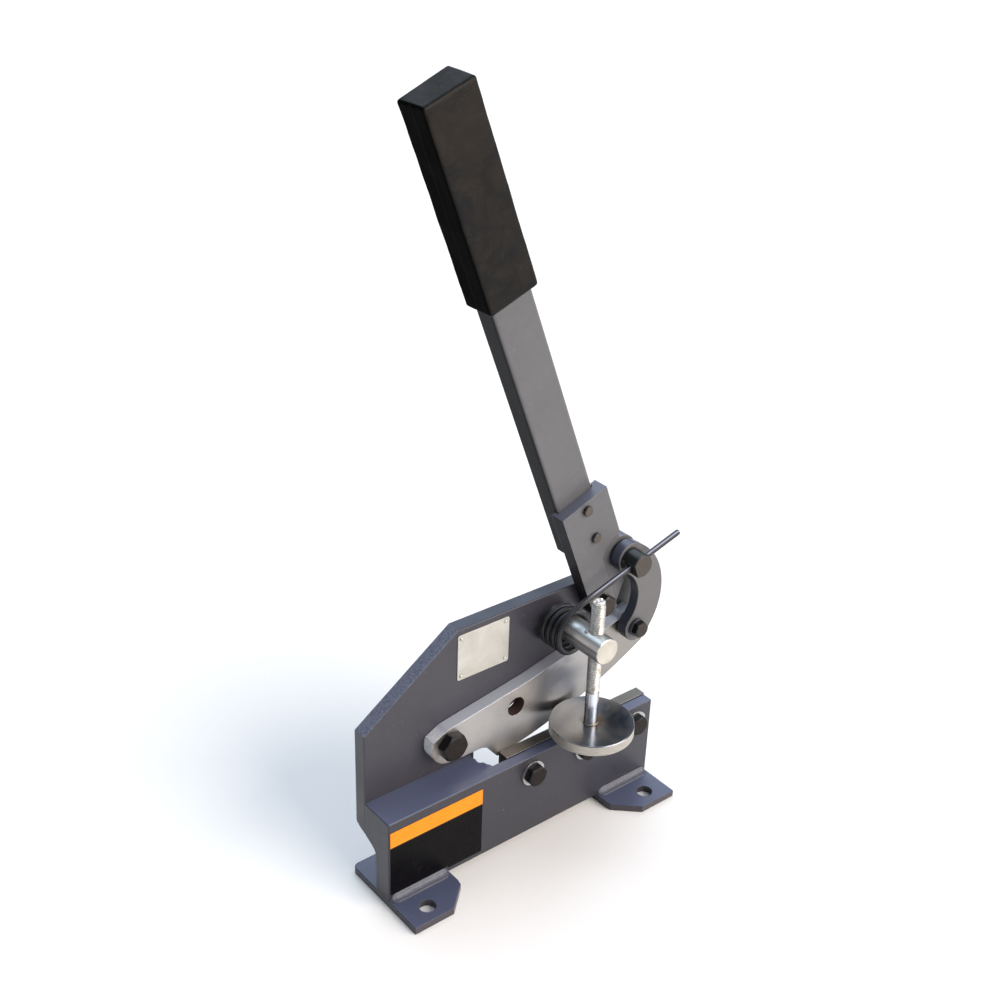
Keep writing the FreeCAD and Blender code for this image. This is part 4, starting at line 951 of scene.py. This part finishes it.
# ---- weld beads -------------------------------------------------------------
def weld(name, x0, x1, y, sign):
    """Fillet bead: hollow profile with solidified ripples and small lumps."""
    n, m = 150, 12
    verts, faces = [], []
    for i in range(n + 1):
        u = i / n
        x = x0 + (x1 - x0) * u
        ripple = 0.13 * math.sin(x * 2.4 + 1.3 * noise.noise(Vector((x * 0.2, y, 0.0))))
        swell = 0.35 * noise.noise(Vector((x * 0.12, y + 3.0, 1.0)))
        tip = min(1.0, u / 0.10, (1.0 - u) / 0.10)
        leg = 5.8 * math.sqrt(max(0.004, 1.0 - (1.0 - tip) ** 2)) + 0.3 * noise.noise(Vector((x * 0.3, y, 5.0))) * tip
        leg = min(leg, 6.0)
        ring = []
        for j in range(m + 1):
            t = j / m
            # straight chord pulled a little inwards
            py, pz = leg * (1.0 - t), leg * t
            pull = (1.9 - ripple - swell) * math.sin(math.pi * t) * leg / 6.0
            py -= pull * 0.5
            pz -= pull * 0.5
            lump = 0.12 * noise.noise(Vector((x * 0.8, t * 4.0, y)))
            verts.append(S(x, y + sign * max(0.0, py + lump * math.sin(math.pi * t)), 6.0 + max(0.0, pz + lump * math.sin(math.pi * t))))
            ring.append(len(verts) - 1)
        verts.append(S(x, y - sign * 0.05, 5.95))
        ring.append(len(verts) - 1)
        if i:
            for k in range(len(ring)):
                q = (k + 1) % len(ring)
                quad = (last[k], last[q], ring[q], ring[k])
                faces.append(quad if sign > 0 else quad[::-1])
        last = ring
        if i == 0:
            first = ring
    faces.append(tuple(first[::-1]) if sign > 0 else tuple(first))
    faces.append(tuple(last) if sign > 0 else tuple(last[::-1]))
    return ride(build(name + "_bead", verts, faces, weld_paint, 50.0), "frame", "frame_paint", name)


weld("left_weld_front", 1.0, 56.0, 0.0, -1)
weld("right_weld_front", 214.0, 269.0, 0.0, -1)
weld("left_weld_rear", 1.0, 56.0, 17.0, 1)
weld("right_weld_rear", 214.0, 269.0, 17.0, 1)


# ---- name plate: bare, with its four drive rivets ---------------------------
def sheet_plate(x0, x1, z0, z1, y_back, thick):
    n, m = 40, 34
    cut = 1.6
    verts, faces = [], []
    grid = {}
    for face in (0, 1):
        for i in range(n + 1):
            for j in range(m + 1):
                x, z = x0 + (x1 - x0) * i / n, z0 + (z1 - z0) * j / m
                # rounded corners
                cx, cz = max(x0 + cut, min(x1 - cut, x)), max(z0 + cut, min(z1 - cut, z))
                off = Vector((x - cx, z - cz))
                if off.length > cut:
                    off = off.normalized() * cut
                x, z = cx + off.x, cz + off.y
                lift = 0.16 * (0.5 + 0.5 * noise.noise(Vector((x * 0.07, z * 0.09, 2.0)))) + 0.05 * noise.noise(Vector((x * 0.4, z * 0.4, 0.0)))
                for rx in (x0 + 3.4, x1 - 3.4):
                    for rz in (z0 + 3.4, z1 - 3.4):
                        lift -= 0.25 * math.exp(-((x - rx) ** 2 + (z - rz) ** 2) / 5.0)
                lift = max(0.0, lift + 0.1)
                y = y_back if face == 0 else y_back - thick - lift + 0.2
                grid[face, i, j] = len(verts)
                verts.append(S(x, y, z))
    for i in range(n):
        for j in range(m):
            a, b, c, d_ = grid[1, i, j], grid[1, i + 1, j], grid[1, i + 1, j + 1], grid[1, i, j + 1]
            faces.append((a, b, c, d_))
            a, b, c, d_ = grid[0, i, j], grid[0, i + 1, j], grid[0, i + 1, j + 1], grid[0, i, j + 1]
            faces.append((d_, c, b, a))
    rim = [(i, 0) for i in range(n)] + [(n, j) for j in range(m)] + [(n - i, m) for i in range(n)] + [(0, m - j) for j in range(m)]
    for k, here in enumerate(rim):
        there = rim[(k + 1) % len(rim)]
        faces.append((grid[0, here[0], here[1]], grid[0, there[0], there[1]], grid[1, there[0], there[1]], grid[1, here[0], here[1]]))
    return verts, faces


shells = [sheet_plate(85.2, 134.7, 157.8, 198.3, 31.3, 0.8)]
for rx in (88.6, 131.3):
    for rz in (161.2, 194.9):
        shells.append(lathe([(0.0, -0.2), (1.55, -0.2), (1.55, 0.30), (1.3, 0.62), (0.8, 0.86), (0.35, 0.94), (0.0, 0.96)], along_y(rx, rz, 30.5, -1), 28))
v, f = joined(*shells)
ride(build("name_plate_sheet", v, f, plate_metal, 45.0), "frame", "plate_aluminium", "name_plate")


# ---- floor ------------------------------------------------------------------
floor = build("floor", [(-9, -9, -0.0002), (9, -9, -0.0002), (9, 9, -0.0002), (-9, 9, -0.0002)], [(0, 1, 2, 3)], floor_finish(), None)
